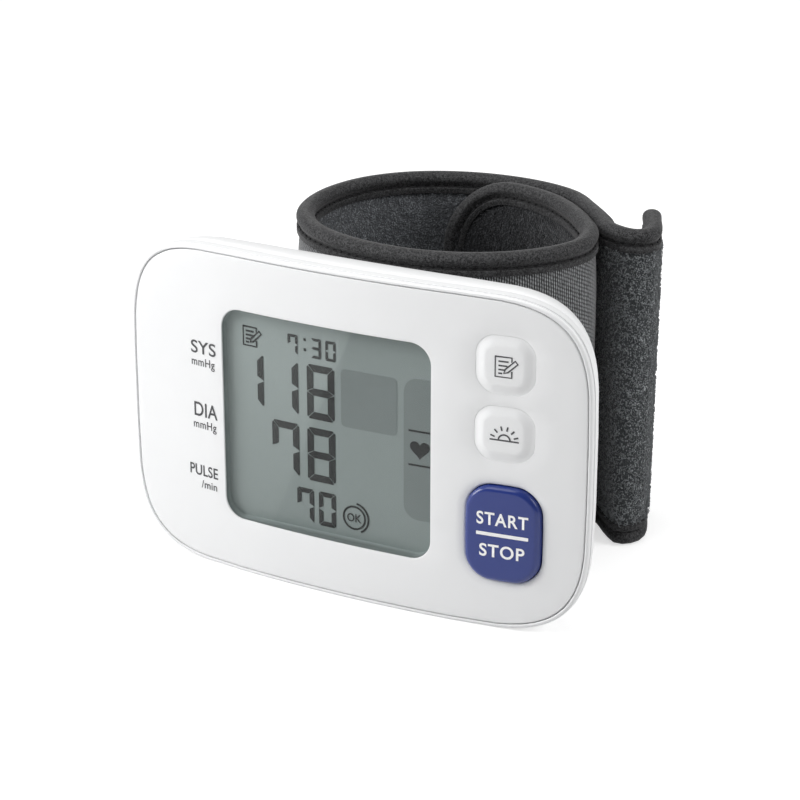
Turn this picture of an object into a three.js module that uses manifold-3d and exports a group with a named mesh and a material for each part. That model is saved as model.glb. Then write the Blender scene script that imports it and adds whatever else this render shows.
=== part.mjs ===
// Wrist blood pressure monitor: a thin housing with a crowned face, and a cuff that curls round behind it.
// Millimetres. X runs to the right, Y from the face towards the cuff, Z up from the table.
import * as THREE from 'three';
import { mergeVertices } from 'three/addons/utils/BufferGeometryUtils.js';
import Module from 'manifold-3d';

const wasm = await Module();
wasm.setup();

// Housing
const housingCornerRadius = 14.6;
const faceRadius = 240;
const wallThickness = 1.6;
const bandDepth = 3.1;
const rearRounding = 9;
const rimThickness = 0.65;
const ledgeWidth = 1.2;
const panelThickness = 1.6;
const fitGap = 0.3;

// How the right side leans in behind the face: from this depth on along a curve, then along a slope
const draftStart = 1.5;
const draftCurve = 0.175;
const draftSlope = 0.29;

// Display window, its opening and the cell behind it
const windowWidth = 40.8;
const windowHeight = 38.8;
const windowCornerRadius = 3.6;
const windowThickness = 1.2;
const windowLeftShift = 3.4;
const windowLift = 0.1;
const lcdMargin = 1.4;
const lcdThickness = 1.1;
const lcdFrameWidth = 1.2;
const connectorWidth = 26.4;
const connectorHeight = 2.2;

// Buttons
const buttonSideRoom = 14.8;
const startWidth = 13.6;
const startHeight = 18.5;
const memoryWidth = 10.2;
const memoryHeight = 10.2;
const averageWidth = 10.4;
const averageHeight = 9.8;
const smallButtonGap = 2.1;
const startButtonGap = 3.65;
const buttonTopShare = 0.443;
const buttonCornerRadius = 3.8;
const buttonProud = 0.5;
const buttonTravel = 0.5;
const flangeWidth = 0.75;
const flangeThickness = 1;
const stemDiameter = 3;

// Circuit board and what is soldered to it
const boardFront = 7.6;
const boardThickness = 1;
const boardMargin = 1;
const boardSideRoom = 25.4;
const boardFootRoom = 0.5;
const boardFootHeight = 16;
const switchSize = 5;
const switchHeight = 1.1;
const plungerDiameter = 2.2;
const plungerGap = 0.15;
const processorSize = 9;
const processorHeight = 1.4;
const buzzerDiameter = 9;
const buzzerHeight = 2.6;
const sensorSize = 6;
const sensorHeight = 3.2;

// Two AAA cells side by side, their contacts, and the cover over them
const cellDiameter = 10.5;
const cellLength = 44.5;
const cellNubDiameter = 3.8;
const cellNubLength = 0.8;
const cellSpacing = 0.4;
const cellSideRoom = 5.1;
const cellEndRoom = 7.55;
const cellBackRoom = 1.27;
const contactThickness = 0.4;
const contactWidth = 5;
const contactReach = 1.2;
const contactTipDiameter = 2;
const contactRootDiameter = 4;
const bayWall = 1.2;
const coverSideMargin = 0.8;
const coverDepth = 7;
const dividerWall = 0.8;
const latchLength = 2;
const latchWidth = 10;
const latchThickness = 0.7;

// Pump, valve and air ways
const motorDiameter = 10;
const motorLength = 16;
const pumpHeadLength = 11;
const pumpHeadHeight = 10;
const pumpHeadDepth = 9.4;
const cradleRib = 1.2;
const pumpRise = 13.5;
const pumpSideRoom = 0.9;
const pumpBoardRoom = 8.6;
const valveDiameter = 8;
const valveLength = 12.7;
const airRise = 1.5;
const airBackRoom = 1.8;
const manifoldEdge = 1;
const manifoldHeight = 8;
const manifoldDepth = 6;
const nippleDiameter = 1.8;
const nippleLength = 1.2;
const tubeDiameter = 3.6;
const tubeBore = 2.4;
const portDiameter = 3.6;
const portBore = 1.6;

// Fasteners
const screwHeadDiameter = 3.6;
const screwHeadHeight = 1.2;
const screwShankDiameter = 1.8;
const screwSlotWidth = 0.6;
const screwSlotDepth = 0.5;
const bossDiameter = 5;
const screwBore = 2.4;
const caseScrewEndRoom = 3.5;
const caseScrewSink = 8;
const lugDiameter = 4.4;
const cuffBossDiameter = 4.4;
const cuffBossColumn = 8;
const cuffBossRise = 16;
const cuffBossReach = 1.3;
const cuffScrewHeadDiameter = 6.4;
const cuffScrewHeadHeight = 1;
const cuffScrewLength = 2.6;
const postDiameter = 4;
const postEndRoom = 8.3;
const postInset = 3;

// Cuff: one strip that starts as the inner flap, rounds the loop and ends as the loose tail
const cuffHeight = 58.6;
const loopWidth = 57.8;
const loopDepth = 52.9;
const fabricThickness = 0.5;
const curlerThickness = 0.6;
const bladderThickness = 0.5;
const layerGap = 0.3;
const bindingHeight = 2.4;
const bindingProud = 0.15;
const flapCornerRadius = 14;
const tailCornerRadius = 3;
const bladderMargin = 5;
const curlerMargin = 1.5;

// How finely round shapes are divided, and how far a cutting shape overruns
const overrun = 4;
const cornerSteps = 6;
const sideSteps = 6;
const faceSteps = 14;
const roundSides = 16;
const stripStep = 3;

// The housing is as wide and as high as what it holds: the cells, the pump and the board side by side
const bayWidth = 2 * cellDiameter + cellSpacing + fitGap + dividerWall;
const pumpWidth = motorLength + fitGap + pumpHeadLength;
const housingWidth = cellSideRoom + bayWidth + pumpSideRoom + pumpWidth + pumpBoardRoom + boardSideRoom;
const housingHeight = cellLength + 2 * cellEndRoom;

// It is as deep as the display, a cell and the back wall behind each other
const lcdFront = faceSag(windowLeftShift + windowWidth / 2 + lcdMargin) + panelThickness + fitGap;
const lcdBack = lcdFront + lcdThickness;
const bayFront = lcdBack + fitGap;
const rearInside = bayFront + cellDiameter + cellBackRoom;
const housingDepth = rearInside + wallThickness;

// Pump and air ways behind the display
const pumpLeft = cellSideRoom + bayWidth + pumpSideRoom - housingWidth / 2;
const motorRight = pumpLeft + motorLength;
const manifoldLeft = pumpLeft + valveLength + 2 * fitGap;
const nippleColumn = motorRight + fitGap + pumpHeadHeight / 2;
const manifoldRight = nippleColumn + manifoldEdge;
const airDepth = rearInside - airBackRoom - valveDiameter / 2;
const boardLeft = housingWidth / 2 - boardSideRoom;
const boardFootLeft = cellSideRoom + bayWidth + boardFootRoom - housingWidth / 2;

// The three buttons stand in one column, with the height that they leave free shared above and below
const buttonColumn = housingWidth / 2 - buttonSideRoom;
const buttonStack = memoryHeight + smallButtonGap + averageHeight + startButtonGap + startHeight;
const memoryRise = (housingHeight - memoryHeight) / 2 - buttonTopShare * (housingHeight - buttonStack);
const averageRise = memoryRise - (memoryHeight + averageHeight) / 2 - smallButtonGap;
const startRise = averageRise - (averageHeight + startHeight) / 2 - startButtonGap;

// Worked out from the sizes above
const centreHeight = housingHeight / 2;
const coverFront = housingDepth - coverDepth;
const caseScrewRise = housingHeight / 2 - caseScrewEndRoom;
const caseScrewSeat = housingDepth - caseScrewSink;
const cuffBossTip = housingDepth - cuffBossReach;
const postRise = housingHeight / 2 - postEndRoom;
const panelInset = rimThickness + fitGap;
const panelHalfWidth = housingWidth / 2 - panelInset;
const panelHalfHeight = housingHeight / 2 - panelInset;
const panelCornerRadius = housingCornerRadius - panelInset;
const boardBack = boardFront + boardThickness;
const cuffThickness = 2 * fabricThickness + curlerThickness + bladderThickness + 3 * layerGap;

function faceSag(x) {
  return faceRadius - Math.sqrt(faceRadius ** 2 - x ** 2);
}

// Solids are joined and cut as manifolds and shown as buffer geometries
function toSolid(geometry) {
  const bare = new THREE.BufferGeometry();
  bare.setAttribute('position', geometry.getAttribute('position').clone());
  if (geometry.index) bare.setIndex(geometry.index.clone());
  const welded = mergeVertices(bare);
  const vertProperties = Float32Array.from(welded.attributes.position.array);
  const triVerts = Uint32Array.from(welded.index.array);
  return new wasm.Manifold(new wasm.Mesh({ numProp: 3, vertProperties, triVerts }));
}

function toGeometry(solid) {
  const mesh = solid.getMesh();
  const geometry = new THREE.BufferGeometry();
  geometry.setAttribute('position', new THREE.BufferAttribute(Float32Array.from(mesh.vertProperties), 3));
  geometry.setIndex(new THREE.BufferAttribute(Uint32Array.from(mesh.triVerts), 1));
  geometry.computeVertexNormals();
  return geometry;
}

// A rounded rectangle in the XZ plane, counted from the middle of the housing
function roundedOutline(halfWidth, halfHeight, radius, x = 0, z = 0) {
  const points = [];
  const flatWidth = halfWidth - radius;
  const flatHeight = halfHeight - radius;
  const corners = [[1, -1], [1, 1], [-1, 1], [-1, -1]];
  corners.forEach(([right, up], quarter) => {
    const start = (quarter - 1) * Math.PI / 2;
    for (let step = 0; step <= cornerSteps; step += 1) {
      const angle = start + (step / cornerSteps) * Math.PI / 2;
      points.push(new THREE.Vector2(
        x + right * flatWidth + radius * Math.cos(angle),
        centreHeight + z + up * flatHeight + radius * Math.sin(angle)));
    }
    const level = right * up > 0;
    for (let step = 1; level && step < sideSteps; step += 1) {
      const share = 1 - 2 * step / sideSteps;
      points.push(new THREE.Vector2(x + up * share * flatWidth, centreHeight + z + up * halfHeight));
    }
  });
  return points;
}

// The smaller of two places first
function ordered(a, b) {
  return [Math.min(a, b), Math.max(a, b)];
}

// A block between places along X, Y and Z, with Z counted from the middle of the housing
function block(x0, x1, y0, y1, z0, z1) {
  const geometry = new THREE.BoxGeometry(x1 - x0, y1 - y0, z1 - z0);
  return toSolid(geometry.translate((x0 + x1) / 2, (y0 + y1) / 2, centreHeight + (z0 + z1) / 2));
}

// A prism with its outline in the XZ plane, from y0 to y1
function prism(outline, y0, y1) {
  const shape = new THREE.Shape(outline);
  const geometry = new THREE.ExtrudeGeometry(shape, { depth: y1 - y0, bevelEnabled: false, steps: 1 });
  return toSolid(geometry.rotateX(Math.PI / 2).translate(0, y1, 0));
}

// A round bar along Y
function rod(x, z, diameter, y0, y1) {
  const geometry = new THREE.CylinderGeometry(diameter / 2, diameter / 2, y1 - y0, roundSides);
  return toSolid(geometry.translate(x, (y0 + y1) / 2, centreHeight + z));
}

// A round bar along X
function crossRod(y, z, diameter, x0, x1) {
  const geometry = new THREE.CylinderGeometry(diameter / 2, diameter / 2, x1 - x0, roundSides);
  return toSolid(geometry.rotateZ(Math.PI / 2).translate((x0 + x1) / 2, y, centreHeight + z));
}

// Everything behind the crowned face, pushed back by a depth
function behind(depth) {
  const reach = housingWidth / 2 + overrun;
  const shape = new THREE.Shape();
  for (let step = 0; step <= faceSteps; step += 1) {
    const x = reach * (1 - 2 * step / faceSteps);
    if (step === 0) shape.moveTo(x, faceSag(x) + depth);
    else shape.lineTo(x, faceSag(x) + depth);
  }
  shape.lineTo(-reach, housingDepth + overrun);
  shape.lineTo(reach, housingDepth + overrun);
  const height = housingHeight + 2 * overrun;
  const geometry = new THREE.ExtrudeGeometry(shape, { depth: height, bevelEnabled: false, steps: 1 });
  return toSolid(geometry.translate(0, 0, -overrun));
}

function crownedSlab(outline, depth, thickness) {
  return prism(outline, -overrun, housingDepth).intersect(behind(depth)).subtract(behind(depth + thickness));
}

function housingOutline(inset) {
  return roundedOutline(housingWidth / 2 - inset, housingHeight / 2 - inset, housingCornerRadius - inset);
}

// The right half is drawn in with depth: along a curve up to the parting line, then along a slope
function drawnIn(x, depth) {
  if (x <= 0) return x;
  const curved = Math.max(Math.min(depth, bandDepth) - draftStart, 0);
  const straight = Math.max(depth - bandDepth, 0);
  const draft = draftCurve * curved ** 2 + draftSlope * straight;
  return x * (1 - 2 * draft / housingWidth);
}

// The housing's outside or its hollow: an even band behind the face, then rings that shrink along a
// quarter ellipse towards a flat back
function housingHull(inset, back) {
  const bandDepths = [draftStart, (draftStart + bandDepth) / 2, bandDepth];
  const rearShares = [0.3, 0.55, 0.75, 0.89, 0.97, 1];
  const front = housingOutline(inset);
  const rings = [front.map((point) => [point.x, -overrun, point.y])];
  for (const depth of bandDepths) {
    rings.push(front.map((point) => {
      const x = drawnIn(point.x, depth);
      return [x, faceSag(x) + depth, point.y];
    }));
  }
  for (const share of rearShares) {
    const shrink = inset + (rearRounding - inset) * (1 - Math.sqrt(1 - share ** 2));
    rings.push(housingOutline(shrink).map((point) => {
      const span = back - faceSag(point.x) - bandDepth;
      const x = drawnIn(point.x, bandDepth + share * span);
      const start = faceSag(x) + bandDepth;
      return [x, start + share * (back - start), point.y];
    }));
  }
  return toSolid(loft(rings));
}

// Joins rings of equally many points, which run anticlockwise seen from the front, and closes both ends
function loft(rings) {
  const count = rings[0].length;
  const positions = rings.flat(2);
  const index = [];
  for (let ring = 0; ring + 1 < rings.length; ring += 1) {
    for (let step = 0; step < count; step += 1) {
      const a = ring * count + step;
      const b = ring * count + (step + 1) % count;
      index.push(a, a + count, b, b, a + count, b + count);
    }
  }
  const ends = [rings[0], rings[rings.length - 1]];
  ends.forEach((ring, end) => {
    const middle = positions.length / 3;
    const first = end * (rings.length - 1) * count;
    for (const axis of [0, 1, 2]) {
      positions.push(ring.reduce((sum, point) => sum + point[axis], 0) / count);
    }
    for (let step = 0; step < count; step += 1) {
      const a = first + step;
      const b = first + (step + 1) % count;
      if (end === 0) index.push(middle, a, b);
      else index.push(middle, b, a);
    }
  });
  const geometry = new THREE.BufferGeometry();
  geometry.setAttribute('position', new THREE.Float32BufferAttribute(positions, 3));
  geometry.setIndex(index);
  return geometry;
}

// The cuff's middle line seen from above. It starts at the inner flap, passes the right bend, the wall
// behind the housing and the left bend, closes over the flap and leaves as the loose tail.
const loopHalfWidth = (loopWidth - cuffThickness) / 2;
const loopHalfDepth = (loopDepth - cuffThickness) / 2;
const loopBackY = housingDepth + fitGap + loopDepth / 2;
const flapShares = [
  [-0.46, 0.735], [-0.282, 0.812], [-0.104, 0.838], [0.144, 0.808], [0.394, 0.692], [0.603, 0.506],
  [0.778, 0.285], [0.91, 0.065], [0.965, -0.205],
];
const tailShares = [
  [0.192, 0.972], [0.469, 0.857], [0.672, 0.642], [0.878, 0.389], [0.99, 0.232], [1.19, 0.162],
  [1.263, 0.246], [1.115, 0.68], [1.085, 0.79],
];
const ringStart = -28;
const ringTurn = -18;
const ringKnots = 14;
const wrapKnot = 6;
const tailKnot = 3;
const leftBulgeShare = 0.03;

function loopPoint(shareX, shareY) {
  return new THREE.Vector3(shareX * loopHalfWidth, loopBackY + shareY * loopHalfDepth, 0);
}

function ringPoint(knot) {
  const angle = THREE.MathUtils.degToRad(ringStart + knot * ringTurn);
  const bulge = Math.cos(angle) < 0 ? 1 + leftBulgeShare * Math.sin(2 * angle) ** 2 : 1;
  return loopPoint(bulge * Math.cos(angle), bulge * Math.sin(angle));
}

const ringPoints = Array.from({ length: ringKnots }, (_, knot) => ringPoint(knot));
const linePoints = [
  ...flapShares.map((pair) => loopPoint(...pair)),
  ...ringPoints,
  ...tailShares.map((pair) => loopPoint(...pair)),
];
const cuffLine = new THREE.CatmullRomCurve3(linePoints);
const knotDivisions = 20;
cuffLine.arcLengthDivisions = (linePoints.length - 1) * knotDivisions;
const cuffLengths = cuffLine.getLengths();
const cuffLength = cuffLengths[cuffLengths.length - 1];
const wrapPlace = cuffLengths[(flapShares.length + wrapKnot) * knotDivisions];
const tailPlace = cuffLengths[(flapShares.length + ringKnots + tailKnot) * knotDivisions];

// A point beside the middle line: along it, outwards from the loop, and up
function cuffPoint(along, outwards, height) {
  const share = THREE.MathUtils.clamp(along / cuffLength, 0, 1);
  const point = cuffLine.getPointAt(share);
  const heading = cuffLine.getTangentAt(share);
  return [point.x - outwards * heading.y, point.y + outwards * heading.x, height];
}

// A rounded end of the strip as places along it, with the low edge there. The corner turns about a point
// one radius in from the end.
function roundedEnd(radius, end, direction, inset) {
  return Array.from({ length: cornerSteps + 1 }, (_, step) => {
    const turn = (step / cornerSteps) * Math.PI / 2;
    const along = end + direction * (radius - (radius - inset) * Math.cos(turn));
    return { along, low: radius - (radius - inset) * Math.sin(turn) };
  });
}

// Places along a stretch of the strip, with the low edge there. Either end may be rounded.
function stretch(from, to, inset, startRadius = 0, endRadius = 0) {
  const first = from + startRadius;
  const last = to - endRadius;
  const steps = Math.ceil((last - first) / stripStep);
  const places = Array.from({ length: steps + 1 }, (_, step) => (
    { along: first + (last - first) * step / steps, low: inset }));
  if (startRadius > 0) places.splice(0, 1, ...roundedEnd(startRadius, from, 1, inset));
  if (endRadius > 0) places.splice(-1, 1, ...roundedEnd(endRadius, to, -1, inset).reverse());
  return places;
}

// A layer of the strip between two offsets from its middle line
function layer(places, outer, inner) {
  const positions = [];
  const index = [];
  places.forEach(({ along, low }, place) => {
    const high = cuffHeight - low;
    positions.push(...cuffPoint(along, outer, low), ...cuffPoint(along, outer, high));
    positions.push(...cuffPoint(along, inner, high), ...cuffPoint(along, inner, low));
    if (place === 0) return;
    const now = place * 4;
    for (let side = 0; side < 4; side += 1) {
      const a = now - 4 + side;
      const b = now - 4 + (side + 1) % 4;
      index.push(a, b, a + 4, b, b + 4, a + 4);
    }
  });
  const end = (places.length - 1) * 4;
  index.push(0, 2, 1, 0, 3, 2, end, end + 1, end + 2, end, end + 2, end + 3);
  const geometry = new THREE.BufferGeometry();
  geometry.setAttribute('position', new THREE.Float32BufferAttribute(positions, 3));
  geometry.setIndex(index);
  return toSolid(geometry);
}

// The edges of the strip as routes over its unrolled face, each step with its outward direction. Every
// route runs anticlockwise: forwards along the bottom, back along the top.
function straightRoute(start, end, height, up) {
  const runs = Math.ceil(Math.abs(end - start) / stripStep);
  return Array.from({ length: runs + 1 }, (_, step) => (
    { along: start + (end - start) * step / runs, height, out: [0, up] }));
}

function cornerRoute(along, height, radius, start) {
  return Array.from({ length: cornerSteps - 1 }, (_, step) => {
    const angle = start + ((step + 1) / cornerSteps) * Math.PI / 2;
    const out = [Math.cos(angle), Math.sin(angle)];
    return { along: along + radius * out[0], height: height + radius * out[1], out };
  });
}

function bottomRoute(from, to) {
  return straightRoute(from, to, 0, -1);
}

function topRoute(from, to) {
  return straightRoute(to, from, cuffHeight, 1);
}

// Both edges and the rounded end that joins them, at the start or at the end of the strip
function roundStartRoute(from, to, radius) {
  const high = cuffHeight - radius;
  return [
    ...topRoute(from + radius, to),
    ...cornerRoute(from + radius, high, radius, Math.PI / 2),
    { along: from, height: high, out: [-1, 0] },
    { along: from, height: radius, out: [-1, 0] },
    ...cornerRoute(from + radius, radius, radius, Math.PI),
    ...bottomRoute(from + radius, to),
  ];
}

function roundEndRoute(from, to, radius) {
  const high = cuffHeight - radius;
  return [
    ...bottomRoute(from, to - radius),
    ...cornerRoute(to - radius, radius, radius, -Math.PI / 2),
    { along: to, height: radius, out: [1, 0] },
    { along: to, height: high, out: [1, 0] },
    ...cornerRoute(to - radius, high, radius, 0),
    ...topRoute(from, to - radius),
  ];
}

// The binding tape folded over an edge: a section with a rounded rim, swept along the route
const tapeShares = [[1, 1], [1, 0.35], [0.7, 0.08], [0.25, 0], [-0.25, 0], [-0.7, 0.08], [-1, 0.35], [-1, 1]];

function tape(route) {
  const half = cuffThickness / 2 + bindingProud;
  const rings = route.map(({ along, height, out }) => tapeShares.map(([across, down]) => cuffPoint(
    along - out[0] * down * bindingHeight, across * half, height - out[1] * down * bindingHeight)));
  return toSolid(loft(rings));
}

// Outlines on the face
const panelOutline = roundedOutline(panelHalfWidth, panelHalfHeight, panelCornerRadius);

function insetPanel(inset) {
  return roundedOutline(panelHalfWidth - inset, panelHalfHeight - inset, panelCornerRadius - inset);
}

function windowOutline(grow) {
  return roundedOutline(windowWidth / 2 + grow, windowHeight / 2 + grow,
    windowCornerRadius + grow, -windowLeftShift, windowLift);
}

const buttons = [
  { name: 'start_stop_button', width: startWidth, height: startHeight, rise: startRise, color: 0x2b3a93 },
  { name: 'memory_button', width: memoryWidth, height: memoryHeight, rise: memoryRise, color: 0xf1f2f3 },
  { name: 'average_button', width: averageWidth, height: averageHeight, rise: averageRise, color: 0xf1f2f3 },
];

function buttonOutline(button, grow) {
  return roundedOutline(button.width / 2 + grow, button.height / 2 + grow, buttonCornerRadius + grow,
    buttonColumn, button.rise);
}

// Housing shells
function facePanel() {
  let panel = crownedSlab(panelOutline, 0, panelThickness);
  panel = panel.subtract(prism(windowOutline(fitGap), -overrun, housingDepth));
  for (const button of buttons) {
    panel = panel.subtract(prism(buttonOutline(button, fitGap), -overrun, housingDepth));
  }
  return panel;
}

function caseLugs(diameter, front, back) {
  return [1, -1].map((side) => rod(buttonColumn, side * caseScrewRise, diameter, front, back));
}

function middleFrame() {
  const ledgeDepth = panelThickness + fitGap;
  let frame = housingHull(0, housingDepth).intersect(behind(0)).subtract(behind(bandDepth));
  frame = frame.subtract(prism(insetPanel(ledgeWidth), -overrun, housingDepth));
  for (const lug of caseLugs(lugDiameter, 0, housingDepth)) {
    frame = frame.add(lug.intersect(crownedSlab(panelOutline, ledgeDepth, bandDepth - ledgeDepth)));
  }
  const seat = prism(insetPanel(-fitGap), -overrun, housingDepth);
  frame = frame.subtract(seat.subtract(behind(ledgeDepth)));
  for (const bore of caseLugs(screwBore, -overrun, housingDepth)) frame = frame.subtract(bore);
  return frame;
}

const cellHalf = cellDiameter / 2;
const cellColumns = [0, 1].map((order) => (
  cellSideRoom + cellHalf + order * (cellDiameter + cellSpacing) - housingWidth / 2));
const cellY = bayFront + cellHalf;
const bayHalfHeight = cellLength / 2 + contactReach + contactThickness + 2 * fitGap;
const bayRight = cellColumns[1] + cellHalf + fitGap;
const coverHalfHeight = bayHalfHeight - coverSideMargin;
const cuffBosses = [-1, 1].flatMap((side) => [-1, 1].map((up) => [side * cuffBossColumn, up * cuffBossRise]));
const manifoldMiddle = (manifoldLeft + manifoldRight) / 2;
const motorY = bayFront + motorDiameter / 2;
const headBottom = pumpRise - pumpHeadHeight / 2;
const boardPosts = [
  [boardLeft + postInset, postRise],
  [boardLeft + postInset, -postRise],
  [boardFootLeft + postInset, -postRise],
];

// The region of the back that the battery cover fills, grown by a gap for its opening
function coverRegion(grow) {
  const half = coverHalfHeight + grow - fitGap;
  const right = bayRight - fitGap + grow;
  return block(-housingWidth, right, coverFront - grow, housingDepth + overrun, -half, half);
}

function rearCase() {
  const outside = housingHull(0, housingDepth).intersect(behind(bandDepth + fitGap));
  let shell = outside.subtract(housingHull(wallThickness, rearInside));
  shell = shell.subtract(coverRegion(fitGap));
  const inner = [];
  for (const side of [-1, 1]) {
    const wall = ordered(side * bayHalfHeight, side * (bayHalfHeight + bayWall));
    inner.push(block(-housingWidth / 2, bayRight + dividerWall, boardBack, rearInside + fitGap, ...wall));
  }
  const divider = block(bayRight, bayRight + dividerWall, bayFront, rearInside + fitGap,
    -bayHalfHeight, bayHalfHeight);
  const latchSlot = block(bayRight - fitGap, bayRight + dividerWall + fitGap,
    rearInside - 2 * fitGap - latchThickness, rearInside, -latchWidth / 2 - fitGap, latchWidth / 2 + fitGap);
  inner.push(divider.subtract(latchSlot));
  inner.push(...caseLugs(bossDiameter, 0, housingDepth));
  for (const [x, rise] of boardPosts) {
    inner.push(rod(x, rise, postDiameter, boardBack + fitGap, rearInside + fitGap));
  }
  const ribInset = cradleRib + 2 * fitGap;
  for (const x of [pumpLeft + ribInset, motorRight - ribInset]) {
    const rib = block(x - cradleRib / 2, x + cradleRib / 2, motorY, rearInside + fitGap,
      pumpRise - motorDiameter / 2, pumpRise + motorDiameter / 2);
    inner.push(rib.subtract(crossRod(motorY, pumpRise, motorDiameter + 2 * fitGap,
      -housingWidth, housingWidth)));
  }
  const valveMiddle = manifoldLeft - fitGap - valveLength / 2;
  const valveRib = block(valveMiddle - cradleRib / 2, valveMiddle + cradleRib / 2, airDepth,
    rearInside + fitGap, airRise - valveDiameter / 2, airRise + valveDiameter / 2);
  inner.push(valveRib.subtract(crossRod(airDepth, airRise, valveDiameter + 2 * fitGap,
    -housingWidth, housingWidth)));
  inner.push(block(nippleColumn - cradleRib, nippleColumn + cradleRib, motorY + pumpHeadDepth / 2 + fitGap,
    rearInside + fitGap, headBottom, headBottom + 2 * cradleRib));
  for (const piece of inner) shell = shell.add(piece.intersect(outside));
  for (const bore of caseLugs(screwBore, 0, housingDepth + overrun)) shell = shell.subtract(bore);
  for (const sink of caseLugs(screwHeadDiameter + 2 * fitGap, caseScrewSeat, housingDepth + overrun)) {
    shell = shell.subtract(sink);
  }
  for (const [x, rise] of cuffBosses) {
    shell = shell.subtract(rod(x, rise, cuffBossDiameter + 2 * fitGap,
      rearInside - fitGap, housingDepth + overrun));
  }
  return shell.subtract(rod(manifoldMiddle, airRise, portDiameter + 2 * fitGap,
    rearInside - fitGap, housingDepth + overrun));
}

function batteryCover() {
  const outside = housingHull(0, housingDepth).subtract(housingHull(wallThickness, rearInside));
  let cover = outside.intersect(coverRegion(0));
  const right = bayRight - fitGap;
  const tongueFront = rearInside - fitGap - latchThickness;
  cover = cover.add(block(right - latchLength, right, tongueFront, rearInside + fitGap,
    -latchWidth / 2, latchWidth / 2));
  return cover.add(block(right - latchLength, right + latchLength, tongueFront, tongueFront + latchThickness,
    -latchWidth / 2, latchWidth / 2));
}

// Display
function displayWindow() {
  return crownedSlab(windowOutline(0), 0, windowThickness);
}

const lcdHalfWidth = windowWidth / 2 + lcdMargin;
const lcdHalfHeight = windowHeight / 2 + lcdMargin;

function lcdPanel() {
  return block(-windowLeftShift - lcdHalfWidth, -windowLeftShift + lcdHalfWidth, lcdFront, lcdBack,
    windowLift - lcdHalfHeight, windowLift + lcdHalfHeight);
}

function lcdFrame() {
  const reach = fitGap + lcdFrameWidth;
  const x = -windowLeftShift;
  const outer = block(x - lcdHalfWidth - reach, x + lcdHalfWidth + reach, 0, lcdBack,
    windowLift - lcdHalfHeight - reach, windowLift + lcdHalfHeight + reach);
  const hole = block(x - lcdHalfWidth - fitGap, x + lcdHalfWidth + fitGap, lcdFront - fitGap,
    lcdBack + overrun, windowLift - lcdHalfHeight - fitGap, windowLift + lcdHalfHeight + fitGap);
  const view = prism(windowOutline(lcdMargin / 2), -overrun, housingDepth);
  return outer.intersect(behind(panelThickness + fitGap)).subtract(hole).subtract(view);
}

function lcdConnector() {
  const bottom = windowLift - lcdHalfHeight;
  return block(-windowLeftShift - connectorWidth / 2, -windowLeftShift + connectorWidth / 2,
    lcdBack + fitGap, boardFront - fitGap, bottom, bottom + connectorHeight);
}

// Buttons: cap through the face, flange behind it, and a stem that meets the switch
const flangeFront = panelThickness + fitGap;
const stemTip = faceSag(buttonColumn) + flangeFront + flangeThickness + fitGap;

function buttonSolid(button) {
  const capDepth = buttonProud + flangeFront + flangeThickness;
  const cap = crownedSlab(buttonOutline(button, 0), -buttonProud, capDepth);
  const flange = crownedSlab(buttonOutline(button, flangeWidth), flangeFront, flangeThickness);
  return cap.add(flange).add(rod(buttonColumn, button.rise, stemDiameter, flangeFront, stemTip));
}

function tactSwitch(rise) {
  const back = boardFront - fitGap;
  const half = switchSize / 2;
  const body = block(buttonColumn - half, buttonColumn + half, back - switchHeight, back,
    rise - half, rise + half);
  const tip = stemTip + buttonTravel + plungerGap;
  return body.add(rod(buttonColumn, rise, plungerDiameter, tip, back));
}

// Circuit board, L-shaped round the cells and the pump
function circuitBoard() {
  const edge = ledgeWidth + boardMargin;
  const reach = panelHalfWidth - edge;
  const low = -panelHalfHeight + edge;
  const right = block(boardLeft, reach, boardFront, boardBack, low, -low);
  const foot = block(boardFootLeft, boardLeft + overrun, boardFront, boardBack, low, low + boardFootHeight);
  let board = right.add(foot).intersect(prism(insetPanel(edge), 0, housingDepth));
  for (const notch of caseLugs(bossDiameter + 2 * fitGap, 0, housingDepth)) board = board.subtract(notch);
  return board;
}

const soldered = boardBack + fitGap;

function boardChip(x, rise, size, height) {
  return block(x - size / 2, x + size / 2, soldered, soldered + height, rise - size / 2, rise + size / 2);
}

// Cells and contacts
function cell(x, up) {
  const can = new THREE.CylinderGeometry(cellHalf, cellHalf, cellLength - cellNubLength, roundSides);
  const nubHalf = cellNubDiameter / 2;
  const nub = new THREE.CylinderGeometry(nubHalf, nubHalf, cellLength / 2, roundSides);
  const pieces = [can.translate(0, -cellNubLength / 2, 0), nub.translate(0, cellLength / 4, 0)];
  const [canSolid, nubSolid] = pieces.map((piece) => toSolid(
    piece.rotateX(up * Math.PI / 2).translate(x, cellY, centreHeight)));
  return canSolid.add(nubSolid);
}

// A contact is a plate behind the end of one cell or both, with a cone on it for each cell
function contactCone(x, up) {
  const root = bayHalfHeight - fitGap - contactThickness / 2;
  const reach = cellLength / 2 + fitGap;
  const geometry = new THREE.CylinderGeometry(contactTipDiameter / 2, contactRootDiameter / 2, root - reach,
    roundSides);
  geometry.rotateX(-up * Math.PI / 2);
  return toSolid(geometry.translate(x, cellY, centreHeight + up * (root + reach) / 2));
}

function contact(columns, up) {
  const height = bayHalfHeight - fitGap;
  const left = Math.min(...columns) - contactWidth / 2;
  const right = Math.max(...columns) + contactWidth / 2;
  const plate = block(left, right, cellY - contactWidth / 2, cellY + contactWidth / 2,
    ...ordered(up * height, up * (height - contactThickness)));
  return columns.reduce((joined, x) => joined.add(contactCone(x, up)), plate);
}

// Pump, valve and air ways
function riser(x, diameter, low, high) {
  const geometry = new THREE.CylinderGeometry(diameter / 2, diameter / 2, high - low, roundSides);
  return toSolid(geometry.rotateX(Math.PI / 2).translate(x, airDepth, centreHeight + (low + high) / 2));
}

const manifoldTop = airRise + manifoldHeight / 2;
const sensorLeft = buttonColumn - sensorSize;

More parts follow.
